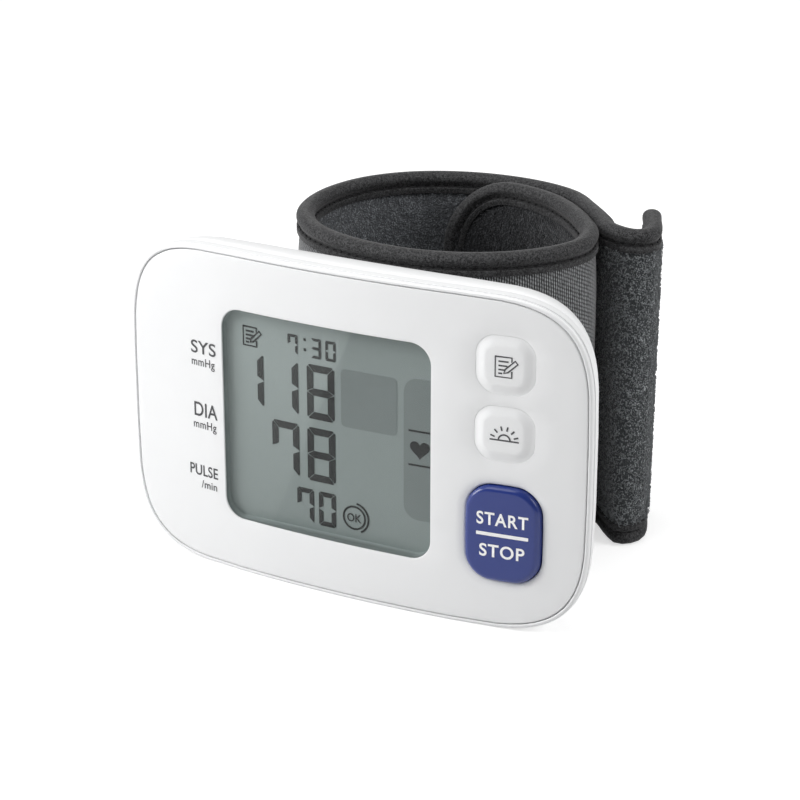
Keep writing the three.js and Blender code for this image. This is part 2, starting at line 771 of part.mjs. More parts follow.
function pumpHead() {
  const left = motorRight + fitGap;
  const body = block(left, left + pumpHeadLength, motorY - pumpHeadDepth / 2, motorY + pumpHeadDepth / 2,
    headBottom, headBottom + pumpHeadHeight);
  return body.add(riser(nippleColumn, nippleDiameter, headBottom - nippleLength, headBottom + nippleLength));
}

function airManifold() {
  const body = block(manifoldLeft, manifoldRight, airDepth - manifoldDepth / 2, airDepth + manifoldDepth / 2,
    airRise - manifoldHeight / 2, manifoldTop);
  const upper = riser(nippleColumn, nippleDiameter, manifoldTop - nippleLength, manifoldTop + nippleLength);
  const side = crossRod(airDepth, airRise, nippleDiameter, manifoldRight - nippleLength,
    manifoldRight + nippleLength);
  return body.add(upper).add(side);
}

function pressureSensor() {
  const half = sensorSize / 2;
  const body = block(sensorLeft, sensorLeft + sensorSize, soldered, soldered + sensorHeight,
    airRise - half, airRise + half);
  return body.add(crossRod(airDepth, airRise, nippleDiameter, sensorLeft - nippleLength,
    sensorLeft + nippleLength));
}

function pumpTube() {
  const low = manifoldTop + fitGap;
  const high = headBottom - fitGap;
  return riser(nippleColumn, tubeDiameter, low, high).subtract(
    riser(nippleColumn, tubeBore, low - overrun, high + overrun));
}

function sensorTube() {
  const left = manifoldRight + fitGap;
  const right = sensorLeft - fitGap;
  return crossRod(airDepth, airRise, tubeDiameter, left, right).subtract(
    crossRod(airDepth, airRise, tubeBore, left - overrun, right + overrun));
}

// The front of a layer of the cuff at a place across the housing
function layerFront(x, offset) {
  const share = x / loopHalfWidth;
  const slope = Math.sqrt(1 - share ** 2);
  return loopBackY - loopHalfDepth * slope - offset;
}

function cuffPort() {
  const front = airDepth + manifoldDepth / 2 + fitGap;
  const back = layerFront(manifoldMiddle, outerOf.bladder) - fitGap;
  return rod(manifoldMiddle, airRise, portDiameter, front, back).subtract(
    rod(manifoldMiddle, airRise, portBore, front - overrun, back + overrun));
}

// A screw along Y: a slotted head on the side that it is driven from, and a plain shank
function screw(x, rise, seat, length, headDiameter, headHeight, towards) {
  const headEnd = seat + towards * headHeight;
  const tip = seat - towards * length;
  const head = rod(x, rise, headDiameter, ...ordered(seat, headEnd));
  const shank = rod(x, rise, screwShankDiameter, ...ordered(tip, seat + towards * headHeight / 2));
  const slotHalf = screwSlotWidth / 2;
  const slot = block(x - headDiameter, x + headDiameter, ...ordered(headEnd - towards * screwSlotDepth,
    headEnd + towards * overrun), rise - slotHalf, rise + slotHalf);
  return head.add(shank).subtract(slot);
}

// Cuff layers as offsets outwards from the middle line
const outerOf = { fabric: cuffThickness / 2 };
outerOf.curler = outerOf.fabric - fabricThickness - layerGap;
outerOf.bladder = outerOf.curler - curlerThickness - layerGap;
outerOf.lining = outerOf.bladder - bladderThickness - layerGap;
const fabricInset = bindingHeight + layerGap;
const wrapStart = wrapPlace + fitGap / 2;
const wrapEnd = tailPlace - fitGap / 2;
const rootEnd = wrapPlace - fitGap / 2;
const tailStart = tailPlace + fitGap / 2;
const coreThickness = cuffThickness - 2 * (fabricThickness + layerGap);

// Layers of the fixed stretch keep clear of the strip's edges by an inset, and of its end by what the
// inset is more than the fabric's own
function rootLayer(outer, thickness, inset) {
  const places = stretch(0, rootEnd - (inset - fabricInset), inset, flapCornerRadius);
  return layer(places, outer, outer - thickness);
}

function wrapLayer(outer, thickness) {
  return layer(stretch(wrapStart, wrapEnd, fabricInset), outer, outer - thickness);
}

function tailLayer(outer, thickness) {
  return layer(stretch(tailStart, cuffLength, fabricInset, 0, tailCornerRadius), outer, outer - thickness);
}

function pierceFront(solid, grow) {
  let pierced = solid;
  for (const [x, rise] of cuffBosses) {
    pierced = pierced.subtract(rod(x, rise, cuffBossDiameter + grow, housingDepth, loopBackY));
  }
  return pierced;
}

function sleeveOuter() {
  const port = rod(manifoldMiddle, airRise, portDiameter + 2 * fitGap, housingDepth, loopBackY);
  return pierceFront(rootLayer(outerOf.fabric, fabricThickness, fabricInset), 2 * fitGap).subtract(port);
}

function cuffCurler() {
  const inset = fabricInset + curlerMargin;
  let curler = rootLayer(outerOf.curler, curlerThickness, inset);
  const insideOfIt = rootLayer(outerOf.curler - curlerThickness / 2, overrun, inset);
  for (const [x, rise] of cuffBosses) {
    const boss = rod(x, rise, cuffBossDiameter, cuffBossTip, layerFront(x, -overrun / 2));
    curler = curler.add(boss.subtract(insideOfIt));
    curler = curler.subtract(rod(x, rise, screwBore, cuffBossTip - fitGap, layerFront(x, -overrun)));
  }
  const port = rod(manifoldMiddle, airRise, portDiameter + 2 * fitGap, housingDepth, loopBackY);
  return curler.subtract(port);
}

// The assembly
const monitor = new THREE.Group();

function finish(color, roughness, metalness = 0) {
  return new THREE.MeshStandardMaterial({ color, roughness, metalness });
}

const finishes = {
  shell: finish(0xf2f3f4, 0.35),
  glass: finish(0x9aa39f, 0.1),
  lcd: finish(0x8b948f, 0.3),
  board: finish(0x2f6b3c, 0.5),
  chip: finish(0x1c1c1e, 0.5),
  steel: finish(0xc4c6c8, 0.35, 0.9),
  cell: finish(0x5d6a70, 0.4, 0.6),
  rubber: finish(0xd8d8d4, 0.7),
  plain: finish(0xb9bcc0, 0.5),
  mesh: finish(0x6b6c6f, 0.9),
  pile: finish(0x33363a, 1),
  tape: finish(0x3a3a3c, 0.8),
  foam: finish(0x4a4a4c, 0.95),
};

function place(group, name, solid, material) {
  const mesh = new THREE.Mesh(toGeometry(solid), material);
  mesh.name = name;
  mesh.geometry.translate(-group.position.x, -group.position.y, -group.position.z);
  group.add(mesh);
}

function hingeGroup(name, along) {
  const group = new THREE.Group();
  group.name = name;
  group.position.fromArray(cuffPoint(along, cuffThickness / 2 + bindingProud, 0));
  return group;
}

place(monitor, 'face_panel', facePanel(), finishes.shell);
place(monitor, 'middle_frame', middleFrame(), finishes.shell);
place(monitor, 'rear_case', rearCase(), finishes.shell);
place(monitor, 'battery_cover', batteryCover(), finishes.shell);
place(monitor, 'display_window', displayWindow(), finishes.glass);
place(monitor, 'lcd_panel', lcdPanel(), finishes.lcd);
place(monitor, 'lcd_frame', lcdFrame(), finishes.plain);
place(monitor, 'lcd_connector', lcdConnector(), finishes.rubber);
buttons.forEach((button, order) => {
  place(monitor, button.name, buttonSolid(button), finish(button.color, 0.3));
  place(monitor, `tact_switch_${order + 1}`, tactSwitch(button.rise), finishes.chip);
});
place(monitor, 'circuit_board', circuitBoard(), finishes.board);
place(monitor, 'processor', boardChip(buttonColumn, memoryRise - processorSize / 2, processorSize,
  processorHeight), finishes.chip);
place(monitor, 'buzzer', rod(buttonColumn, startRise, buzzerDiameter, soldered, soldered + buzzerHeight),
  finishes.chip);
place(monitor, 'battery_1', cell(cellColumns[0], 1), finishes.cell);
place(monitor, 'battery_2', cell(cellColumns[1], -1), finishes.cell);
place(monitor, 'contact_bridge', contact(cellColumns, -1), finishes.steel);
place(monitor, 'contact_positive', contact([cellColumns[0]], 1), finishes.steel);
place(monitor, 'contact_negative', contact([cellColumns[1]], 1), finishes.steel);
place(monitor, 'pump_motor', crossRod(motorY, pumpRise, motorDiameter, pumpLeft, motorRight), finishes.steel);
place(monitor, 'pump_head', pumpHead(), finishes.plain);
place(monitor, 'release_valve', crossRod(airDepth, airRise, valveDiameter,
  manifoldLeft - fitGap - valveLength, manifoldLeft - fitGap), finishes.steel);
place(monitor, 'air_manifold', airManifold(), finishes.plain);
place(monitor, 'pressure_sensor', pressureSensor(), finishes.chip);
place(monitor, 'pump_tube', pumpTube(), finishes.rubber);
place(monitor, 'sensor_tube', sensorTube(), finishes.rubber);
place(monitor, 'cuff_port', cuffPort(), finishes.plain);
[1, -1].forEach((side, order) => place(monitor, `case_screw_${order + 1}`,
  screw(buttonColumn, side * caseScrewRise, caseScrewSeat + fitGap,
    caseScrewSeat - faceSag(buttonColumn) - panelThickness - 2 * fitGap, screwHeadDiameter,
    screwHeadHeight, 1), finishes.steel));
cuffBosses.forEach(([x, rise], order) => place(monitor, `cuff_screw_${order + 1}`,
  screw(x, rise, rearInside - fitGap, cuffScrewLength, cuffScrewHeadDiameter, cuffScrewHeadHeight, -1),
  finishes.steel));

place(monitor, 'sleeve_outer', sleeveOuter(), finishes.mesh);
place(monitor, 'sleeve_lining', rootLayer(outerOf.lining, fabricThickness, fabricInset), finishes.pile);
place(monitor, 'cuff_curler', cuffCurler(), finishes.plain);
place(monitor, 'air_bladder', rootLayer(outerOf.bladder, bladderThickness, fabricInset + bladderMargin),
  finishes.rubber);
place(monitor, 'sleeve_binding', tape(roundStartRoute(0, rootEnd, flapCornerRadius)), finishes.tape);

const wrap = hingeGroup('wrap', wrapPlace);
place(wrap, 'wrap_outer', wrapLayer(outerOf.fabric, fabricThickness), finishes.mesh);
place(wrap, 'wrap_foam', wrapLayer(outerOf.curler, coreThickness), finishes.foam);
place(wrap, 'wrap_lining', wrapLayer(outerOf.lining, fabricThickness), finishes.pile);
place(wrap, 'wrap_binding_top', tape(topRoute(wrapStart, wrapEnd)), finishes.tape);
place(wrap, 'wrap_binding_bottom', tape(bottomRoute(wrapStart, wrapEnd)), finishes.tape);

const tail = hingeGroup('tail', tailPlace);
place(tail, 'tail_outer', tailLayer(outerOf.fabric, fabricThickness), finishes.mesh);
place(tail, 'tail_foam', tailLayer(outerOf.curler, coreThickness), finishes.foam);
place(tail, 'tail_hook_patch', tailLayer(outerOf.lining, fabricThickness), finishes.pile);
place(tail, 'tail_binding', tape(roundEndRoute(tailStart, cuffLength, tailCornerRadius)), finishes.tape);
monitor.add(wrap, tail);

// The frame's origin is under the middle of the whole object, on the table
const middle = new THREE.Box3().setFromObject(monitor).getCenter(new THREE.Vector3());
monitor.position.set(0, -middle.y, 0);

export default monitor;
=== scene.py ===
# Looks of a wrist blood pressure monitor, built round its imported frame. Sizes are in millimetres.
import math

import bpy
import numpy as np
from mathutils.geometry import delaunay_2d_cdt
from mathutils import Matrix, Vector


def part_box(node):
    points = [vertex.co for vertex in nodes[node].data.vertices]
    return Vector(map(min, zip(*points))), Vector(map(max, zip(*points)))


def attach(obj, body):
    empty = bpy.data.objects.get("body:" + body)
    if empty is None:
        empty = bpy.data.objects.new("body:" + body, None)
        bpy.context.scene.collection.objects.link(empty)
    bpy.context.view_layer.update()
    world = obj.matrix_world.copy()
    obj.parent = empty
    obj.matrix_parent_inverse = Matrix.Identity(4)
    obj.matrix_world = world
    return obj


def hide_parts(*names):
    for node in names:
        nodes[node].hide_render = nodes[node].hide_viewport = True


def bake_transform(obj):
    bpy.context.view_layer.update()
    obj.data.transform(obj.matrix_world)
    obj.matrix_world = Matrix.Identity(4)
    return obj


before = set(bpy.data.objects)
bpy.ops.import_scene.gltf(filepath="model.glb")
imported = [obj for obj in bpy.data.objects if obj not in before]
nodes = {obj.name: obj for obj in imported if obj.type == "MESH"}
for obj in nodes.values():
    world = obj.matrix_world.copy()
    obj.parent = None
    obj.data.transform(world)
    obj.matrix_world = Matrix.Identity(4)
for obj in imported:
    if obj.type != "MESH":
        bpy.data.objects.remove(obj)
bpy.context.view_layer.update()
mm = 0.001


def boxOf(node):
    low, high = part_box(node)
    return [value / mm for value in low], [value / mm for value in high]


frameLow, frameHigh = boxOf("middle_frame")
faceApex = frameLow[1]
midHeight = frameHigh[2] / 2
backY = boxOf("rear_case")[1][1]
print("frame loaded,", len(nodes), "nodes")


# Camera, where the photograph was taken from
cameraSpec = {"place": (186.5, -362.0, 181.9), "turn": 28.18, "tilt": 21.1, "lens": 107.1, "sensor": 36.0,
              "reach": 10}


def addCamera(spec):
    data = bpy.data.cameras.new("camera")
    data.lens = spec["lens"]
    data.sensor_width = spec["sensor"]
    data.clip_end = spec["reach"]
    eye = bpy.data.objects.new("camera", data)
    eye.location = [value * mm for value in spec["place"]]
    eye.rotation_euler = (math.radians(90 - spec["tilt"]), 0, math.radians(spec["turn"]))
    bpy.context.scene.collection.objects.link(eye)
    bpy.context.scene.camera = eye


addCamera(cameraSpec)


# Materials: every one is a Principled shader with procedural colour, roughness and bump.
# An input is a value, a socket, or a node whose first output is meant.
def nodeMaker(tree):
    def make(kind, inputs=None, **settings):
        node = tree.nodes.new(kind)
        for key, value in settings.items():
            setattr(node, key, value)
        for key, value in (inputs or {}).items():
            if isinstance(value, bpy.types.Node):
                value = value.outputs[0]
            if isinstance(value, bpy.types.NodeSocket):
                tree.links.new(value, node.inputs[key])
            else:
                node.inputs[key].default_value = value
        return node
    return make


def startMaterial(name, roughness, **sockets):
    material = bpy.data.materials.new(name)
    material.use_nodes = True
    shader = material.node_tree.nodes["Principled BSDF"]
    for key, value in {"Roughness": roughness, **sockets}.items():
        shader.inputs[key.replace("_", " ")].default_value = value
    return material, shader, nodeMaker(material.node_tree)


def feed(shader, key, source):
    shader.id_data.links.new(source.outputs[0], shader.inputs[key])


def objectPlace(make):
    return make("ShaderNodeTexCoord").outputs["Object"]


def stripPlace(make):
    return make("ShaderNodeUVMap", uv_map="strip")


def noise(make, place, scale, detail):
    return make("ShaderNodeTexNoise", {"Vector": place, "Scale": scale, "Detail": detail})


def waves(make, place, scale, distortion, detailScale):
    bands = make("ShaderNodeTexWave", {"Vector": place, "Scale": scale, "Distortion": distortion,
                                       "Detail": 1.0, "Detail Scale": detailScale})
    return bands.outputs["Fac"]


def split(make, place):
    return make("ShaderNodeSeparateXYZ", {"Vector": place}).outputs


def calc(make, operation, *values):
    return make("ShaderNodeMath", dict(enumerate(values)), operation=operation)


def remap(make, value, first, last, low=0.0, high=1.0):
    return make("ShaderNodeMapRange", {"Value": value, "From Min": first, "From Max": last, "To Min": low,
                                       "To Max": high})


def paint(make, shader, factor, dark, bright, start=0.0, end=1.0):
    ramp = make("ShaderNodeValToRGB", {"Fac": factor})
    for element, position, color in zip(ramp.color_ramp.elements, (start, end), (dark, bright)):
        element.position = position
        element.color = (*color, 1)
    feed(shader, "Base Color", ramp)


def addBump(make, shader, height, strength, distance):
    bump = make("ShaderNodeBump", {"Height": height, "Strength": strength, "Distance": distance * mm})
    feed(shader, "Normal", bump)


# Moulded plastic, paint, rubber or metal: faint cloudy colour, uneven gloss and a fine grain
moulded = {"clouds": (60.0, 3.0), "ramp": (0.3, 0.7), "gloss": (0.9, 1.1), "grainDetail": 2.0, "relief": 0.1}


def mouldedMaterial(name, color, roughness, grain=0.03, grainSize=0.35, cloud=0.03, **sockets):
    material, shader, make = startMaterial(name, roughness, **sockets)
    place = objectPlace(make)
    clouds = noise(make, place, *moulded["clouds"])
    dull, lit = ([min(1, value * share) for value in color] for share in (1 - cloud, 1 + cloud))
    paint(make, shader, clouds, dull, lit, *moulded["ramp"])
    feed(shader, "Roughness", remap(make, clouds, 0, 1, *(roughness * share for share in moulded["gloss"])))
    fine = noise(make, place, 1 / (grainSize * mm), moulded["grainDetail"])
    addBump(make, shader, fine, grain, moulded["relief"])
    return material


# Spacer knit, counted in millimetres along the strip: upright silvery streaks between close dark ribs
knit = {"ribs": (0.72, 1.2, 1.5), "twillTurn": 62, "twill": (0.5, 1.5, 2.0), "slack": 0.4,
        "drawn": (2.8, 0.8, 1.0), "streaks": (1.0, 3.0), "ramp": (0.08, 0.42), "bump": (0.7, 0.25)}


def knitMaterial(name, dark, bright):
    material, shader, make = startMaterial(name, 0.7, Sheen_Weight=0.6, Sheen_Roughness=0.3)
    strip = stripPlace(make)
    turned = make("ShaderNodeMapping", {"Vector": strip, "Rotation": (0, 0, math.radians(knit["twillTurn"]))})
    drawn = make("ShaderNodeMapping", {"Vector": strip, "Scale": knit["drawn"]})
    twill = remap(make, waves(make, turned, *knit["twill"]), 0, 1, knit["slack"])
    crossed = calc(make, "MULTIPLY", waves(make, strip, *knit["ribs"]), twill)
    relief = calc(make, "MULTIPLY", crossed, noise(make, drawn, *knit["streaks"]))
    paint(make, shader, relief, dark, bright, *knit["ramp"])
    addBump(make, shader, relief, *knit["bump"])
    return material


# Napped cloth: a speckle of lit loops over shade
nap = {"clumpShare": 0.35, "clumpDetail": 4.0, "ramp": (0.0, 0.5), "bump": (0.8, 0.35)}


def pileMaterial(name, dark, bright, size):
    material, shader, make = startMaterial(name, 0.95, Sheen_Weight=0.2, Sheen_Roughness=0.5,
                                           Specular_IOR_Level=0.25)
    place = objectPlace(make)
    cells = make("ShaderNodeTexVoronoi", {"Vector": place, "Scale": 1 / (size * mm), "Randomness": 1.0})
    clumps = noise(make, place, nap["clumpShare"] / (size * mm), nap["clumpDetail"])
    relief = calc(make, "SUBTRACT", clumps, cells)
    paint(make, shader, relief, dark, bright, *nap["ramp"])
    addBump(make, shader, relief, *nap["bump"])
    return material


# Folded binding tape: a close plain weave, slightly uneven, with painted shade along its crease, whose place
# is counted in millimetres down from the strip's edge
tape = {"mottle": (2400.0, 4.0), "weave": (5200.0, 1.0), "ramp": (0.14, 0.36), "bump": (0.45, 0.12),
        "seam": 2.6, "seamHalfWidth": 0.1, "seamFade": 0.3, "creasePaintedShade": 0.65}


def tapeMaterial(name, dark, bright):
    material, shader, make = startMaterial(name, 0.75, Sheen_Weight=0.22, Sheen_Roughness=0.35,
                                           Specular_IOR_Level=0.25)
    place = objectPlace(make)
    weave = noise(make, place, *tape["weave"])
    both = calc(make, "MULTIPLY", noise(make, place, *tape["mottle"]), weave)
    # Painted shade: the colour is darkened in a band along the crease
    beside = calc(make, "ABSOLUTE", calc(make, "SUBTRACT", split(make, stripPlace(make))["Y"], tape["seam"]))
    plain = remap(make, beside, tape["seamHalfWidth"], tape["seamFade"], tape["creasePaintedShade"])
    paint(make, shader, calc(make, "MULTIPLY", both, plain), dark, bright, *tape["ramp"])
    addBump(make, shader, weave, *tape["bump"])
    return material


# A reflection is painted onto the display: paler left of a slanting line, most at the top: one on this side,
# nought on the other
paintedReflectionSlant = {"slope": 0.42, "shift": -19.2, "edge": (-0.2, 0.5), "fade": (12.0, 40.0), "foot": 0.3,
         "smear": (30.0, 2.0), "relief": 0.2}


def paintedSlantReflection(make, place):
    parts = split(make, place)
    line = calc(make, "MULTIPLY_ADD", parts["Z"], paintedReflectionSlant["slope"], paintedReflectionSlant["shift"] * mm)
    edge = remap(make, calc(make, "SUBTRACT", line, parts["X"]), *(value * mm for value in paintedReflectionSlant["edge"]))
    fade = remap(make, parts["Z"], *(value * mm for value in paintedReflectionSlant["fade"]), paintedReflectionSlant["foot"])
    return calc(make, "MULTIPLY", edge, fade)


# The base colour carries the painted reflection: plain away from it, paler inside the slanting patch
def paintedReflectionMaterial(name, plain, paintedReflectionColor, roughness, grain, **sockets):
    material, shader, make = startMaterial(name, roughness, **sockets)
    place = objectPlace(make)
    paint(make, shader, paintedSlantReflection(make, place), plain, paintedReflectionColor)
    addBump(make, shader, noise(make, place, *paintedReflectionSlant["smear"]), grain, paintedReflectionSlant["relief"])
    return material


# Painted shade for a recess: a colour that changes from front to back between two depths in millimetres
def coveShadeMaterial(name, front, back, start, end):
    material, shader, make = startMaterial(name, 0.6)
    paint(make, shader, remap(make, split(make, objectPlace(make))["Y"], start * mm, end * mm), front, back)
    return material


whitePlastic = mouldedMaterial("whitePlastic", (0.86, 0.865, 0.87), 0.38, cloud=0.008)
bluePlastic = mouldedMaterial("bluePlastic", (0.012, 0.031, 0.2), 0.34, Specular_IOR_Level=0.3,
                              Coat_Weight=0.45, Coat_Roughness=0.06)
# The window pane and the display cell both carry the painted reflection
windowGlass = paintedReflectionMaterial("windowGlass", (0.04, 0.045, 0.044), (0.16, 0.175, 0.17), 0.06, 0.02, Alpha=0.1,
                              Specular_IOR_Level=0.3)
displayGlass = paintedReflectionMaterial("displayGlass", (0.315, 0.37, 0.36), (0.38, 0.44, 0.43), 0.4, 0.01)
displayShade = mouldedMaterial("displayShade", (0.225, 0.265, 0.26), 0.3, grain=0.01)
displayInk = mouldedMaterial("displayInk", (0.006, 0.008, 0.008), 0.3, grain=0.01)
labelInk = mouldedMaterial("labelInk", (0.055, 0.055, 0.06), 0.5)
whiteInk = mouldedMaterial("whiteInk", (0.97, 0.97, 0.97), 0.4)
innerPlastic = mouldedMaterial("innerPlastic", (0.5, 0.51, 0.53), 0.55)
darkComponent = mouldedMaterial("darkComponent", (0.016, 0.016, 0.018), 0.5)
steel = mouldedMaterial("steel", (0.55, 0.56, 0.58), 0.32, grain=0.08, Metallic=1.0)
cellJacket = mouldedMaterial("cellJacket", (0.11, 0.14, 0.16), 0.35, Metallic=0.5)
softRubber = mouldedMaterial("softRubber", (0.6, 0.6, 0.57), 0.7)
boardGreen = mouldedMaterial("boardGreen", (0.03, 0.13, 0.05), 0.45, cloud=0.15)
knitCloth = knitMaterial("knitCloth", (0.004, 0.004, 0.005), (0.32, 0.33, 0.34))
# The sleeve's pile is a darker copy of the lining's: painted shade on the flap deep inside the loop
liningPile = pileMaterial("liningPile", (0.085, 0.09, 0.097), (0.3, 0.315, 0.335), 0.35)
sleevePile = pileMaterial("sleevePile", (0.017, 0.018, 0.02), (0.08, 0.084, 0.09), 0.4)
hookPile = pileMaterial("hookPile", (0.05, 0.055, 0.058), (0.42, 0.44, 0.455), 0.36)
bindingTape = tapeMaterial("bindingTape", (0.005, 0.005, 0.0055), (0.066, 0.066, 0.068))
sewingThread = mouldedMaterial("sewingThread", (0.008, 0.008, 0.009), 0.8, grain=0.4, grainSize=0.1)
# The sleeve's fibre is likewise the darker, painted-shade copy of the lining's fibre
liningFibre, sleeveShadedFibre, hookFibre = (
    mouldedMaterial(name, color, 0.8, grain=0.2, grainSize=0.1)
    for name, color in (("liningFibre", (0.125, 0.135, 0.148)), ("sleeveShadedFibre", (0.045, 0.047, 0.05)),
                        ("hookFibre", (0.18, 0.19, 0.197))))
print("materials ready")


# Meshes are made in millimetres and stored in metres
def meshPiece(name, points, faces, material, uv=None, sharp=40):
    mesh = bpy.data.meshes.new(name)
    mesh.from_pydata([[value * mm for value in point] for point in points], [], faces)
    if uv is not None:
        layer = mesh.uv_layers.new(name="strip")
        loops = np.empty(len(mesh.loops), dtype=np.int32)
        mesh.loops.foreach_get("vertex_index", loops)
        layer.data.foreach_set("uv", np.asarray(uv, np.float32)[loops].ravel())
    mesh.materials.append(material)
    return finishMesh(bpy.data.objects.new(name, mesh), sharp)


def linked(piece):
    if piece.name not in bpy.context.scene.collection.objects:
        bpy.context.scene.collection.objects.link(piece)
    return piece


def finishMesh(piece, sharp=40):
    piece.data.shade_smooth()
    piece.data.set_sharp_from_angle(angle=math.radians(sharp))
    return linked(piece)


# Turns what an object looks like with its modifiers, or a curve or text, into a plain mesh piece
def bakePiece(source, name, material=None):
    bpy.context.view_layer.update()
    evaluated = source.evaluated_get(bpy.context.evaluated_depsgraph_get())
    mesh = bpy.data.meshes.new_from_object(evaluated)
    bpy.data.objects.remove(source)
    mesh.name = name
    if material is not None:
        mesh.materials.clear()
        mesh.materials.append(material)
    return finishMesh(bpy.data.objects.new(name, mesh))


def dress(piece, body, slot, replaced=()):
    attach(piece, body)
    if replaced:
        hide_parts(*replaced)
    return piece


# The crowned face: a cylinder with an upright axis
faceRadius = 240.0


def faceY(x, depth=0.0):
    return faceApex + faceRadius - math.sqrt(faceRadius ** 2 - x * x) + depth


def quarterTurns(steps):
    return [step / steps * math.pi / 2 for step in range(steps + 1)]


# A corner of a rounded outline: a quarter circle at power 2, squarer and longer above it
def cornerPoint(turn, power):
    u, v = (math.copysign(abs(value) ** (1 / (power - 1)), value)
            for value in (math.cos(turn), math.sin(turn)))
    size = (abs(u) ** power + abs(v) ** power) ** (1 / power)
    return u / size, v / size


leastRadius = 0.05


# A rounded rectangle seen from the front, anticlockwise, as x and z. A bow swells its sides a little.
def outline(spec, grow=0.0, cornerSteps=14, sideSteps=12):
    cornerSteps = spec.get("cornerSteps", cornerSteps)
    halfWidth = spec["width"] / 2 + grow
    halfHeight = spec["height"] / 2 + grow
    radius = max(spec["radius"] + grow, leastRadius)
    points = []
    for quarter, (right, up) in enumerate(((1, -1), (1, 1), (-1, 1), (-1, -1))):
        for step in range(cornerSteps + 1):
            u, v = cornerPoint((quarter - 1 + step / cornerSteps) * math.pi / 2, spec.get("power", 2.0))
            points.append((right * (halfWidth - radius) + radius * u,
                           up * (halfHeight - radius) + radius * v))
        x, z = points[-1]
        for step in range(1, sideSteps):
            share = 1 - 2 * step / sideSteps
            points.append((x, share * z) if quarter % 2 == 0 else (share * x, z))
    bow = spec.get("bow", 0.0)
    return [(spec["x"] + u * (1 + bow / halfWidth * (1 - (v / halfHeight) ** 2)),
             spec["z"] + v * (1 + bow / halfHeight * (1 - (u / halfWidth) ** 2))) for u, v in points]


def outlineOf(node, radius, trim=0.0, bow=0.0):
    low, high = boxOf(node)
    return {"x": (low[0] + high[0]) / 2, "z": (low[2] + high[2]) / 2, "radius": radius, "bow": bow,
            "width": high[0] - low[0] - 2 * trim, "height": high[2] - low[2] - 2 * trim}


def changed(spec, **changes):
    return {**spec, **{key: spec[key] + change for key, change in changes.items()}}


def grown(spec, grow):
    return changed(spec, width=2 * grow, height=2 * grow, radius=grow)


# An edge as insets and depths from the flat top outwards: a quarter round, or a soft pillow slope
def roundEdge(radius, lift=0.0, steps=6):
    return [(radius * (1 - math.sin(turn)), radius * (1 - math.cos(turn)) - lift)
            for turn in quarterTurns(steps)]


def pillowEdge(width, lift, sink, steps=12):
    shares = [step / steps for step in range(steps + 1)]
    return [(width * (1 - share), (lift + sink) * share ** 2 * (3 - 2 * share) - lift) for share in shares]


# Adds a loop of points and gives their numbers
def addRing(points, ring):
    first = len(points)
    points += ring
    return list(range(first, len(points)))


def ringFaces(near, far, flip=False):
    quads = []
    for here in range(len(near)):
        there = (here + 1) % len(near)
        quad = (near[here], far[here], far[there], near[there])
        quads.append(quad[::-1] if flip else quad)
    return quads


def sweepFaces(rings, flip=False, closed=False):
    following = rings[1:] + rings[:1] if closed else rings[1:]
    return [quad for near, far in zip(rings, following) for quad in ringFaces(near, far, flip)]


def isInside(point, polygon):
    x, z = point
    hit = False
    for (x0, z0), (x1, z1) in zip(polygon, polygon[1:] + polygon[:1]):
        if (z0 > z) != (z1 > z) and x < (x1 - x0) * (z - z0) / (z1 - z0) + x0:
            hit = not hit
    return hit


def isWithin(point, loops):
    return isInside(point, loops[0]) and not any(isInside(point, hole) for hole in loops[1:])


# Fills flat loops with triangles, with points between them so that the sheet can follow the crown
def fillLoops(loops, spacing):
    flat = [point for loop in loops for point in loop]
    edges = []
    first = 0
    for loop in loops:
        edges += [(first + step, first + (step + 1) % len(loop)) for step in range(len(loop))]
        first += len(loop)
    xs, zs = zip(*loops[0])
    for x in np.arange(min(xs) + spacing / 2, max(xs), spacing):
        for z in np.arange(min(zs) + spacing / 2, max(zs), spacing):
            near = min((x - u) ** 2 + (z - v) ** 2 for loop in loops for u, v in loop[::2])
            if near > (spacing / 2) ** 2 and isWithin((x, z), loops):
                flat.append((float(x), float(z)))
    triangles = delaunay_2d_cdt(flat, edges, [], 1, 1e-6)[2]
    return flat, [triangle for triangle in triangles
                  if isWithin(np.mean([flat[corner] for corner in triangle], axis=0), loops)]


# Closes an end between its loops; level gives the depth of the points inside
def fillEnd(points, rings, spacing, level, turn):
    numbers = [number for ring in rings for number in ring]
    loops = [[(points[number][0], points[number][2]) for number in ring] for ring in rings]
    flat, triangles = fillLoops(loops, spacing)
    numbers += addRing(points, [(x, level(x), z) for x, z in flat[len(numbers):]])
    return [tuple(numbers[corner] for corner in triangle[::turn]) for triangle in triangles]


# A closed plate that follows the crowned face, with shaped edges round its outside and its holes
def crownedPlate(name, outer, edge, back, material, holes=(), spacing=3.0):
    points, faces, fronts, backs = [], [], [], []
    for spec, profile, side in [(outer, edge, 1)] + [(hole, rim, -1) for hole, rim in holes]:
        rings = [addRing(points, [(x, faceY(x, depth), z) for x, z in outline(spec, -side * inset)])
                 for inset, depth in [*profile, (0.0, back)]]
        faces += sweepFaces(rings, side < 0)
        fronts.append(rings[0])
        backs.append(rings[-1])
    faces += fillEnd(points, fronts, spacing, lambda x: faceY(x, edge[0][1]), 1)
    faces += fillEnd(points, backs, spacing, lambda x: faceY(x, back), -1)
    return meshPiece(name, points, faces, material)


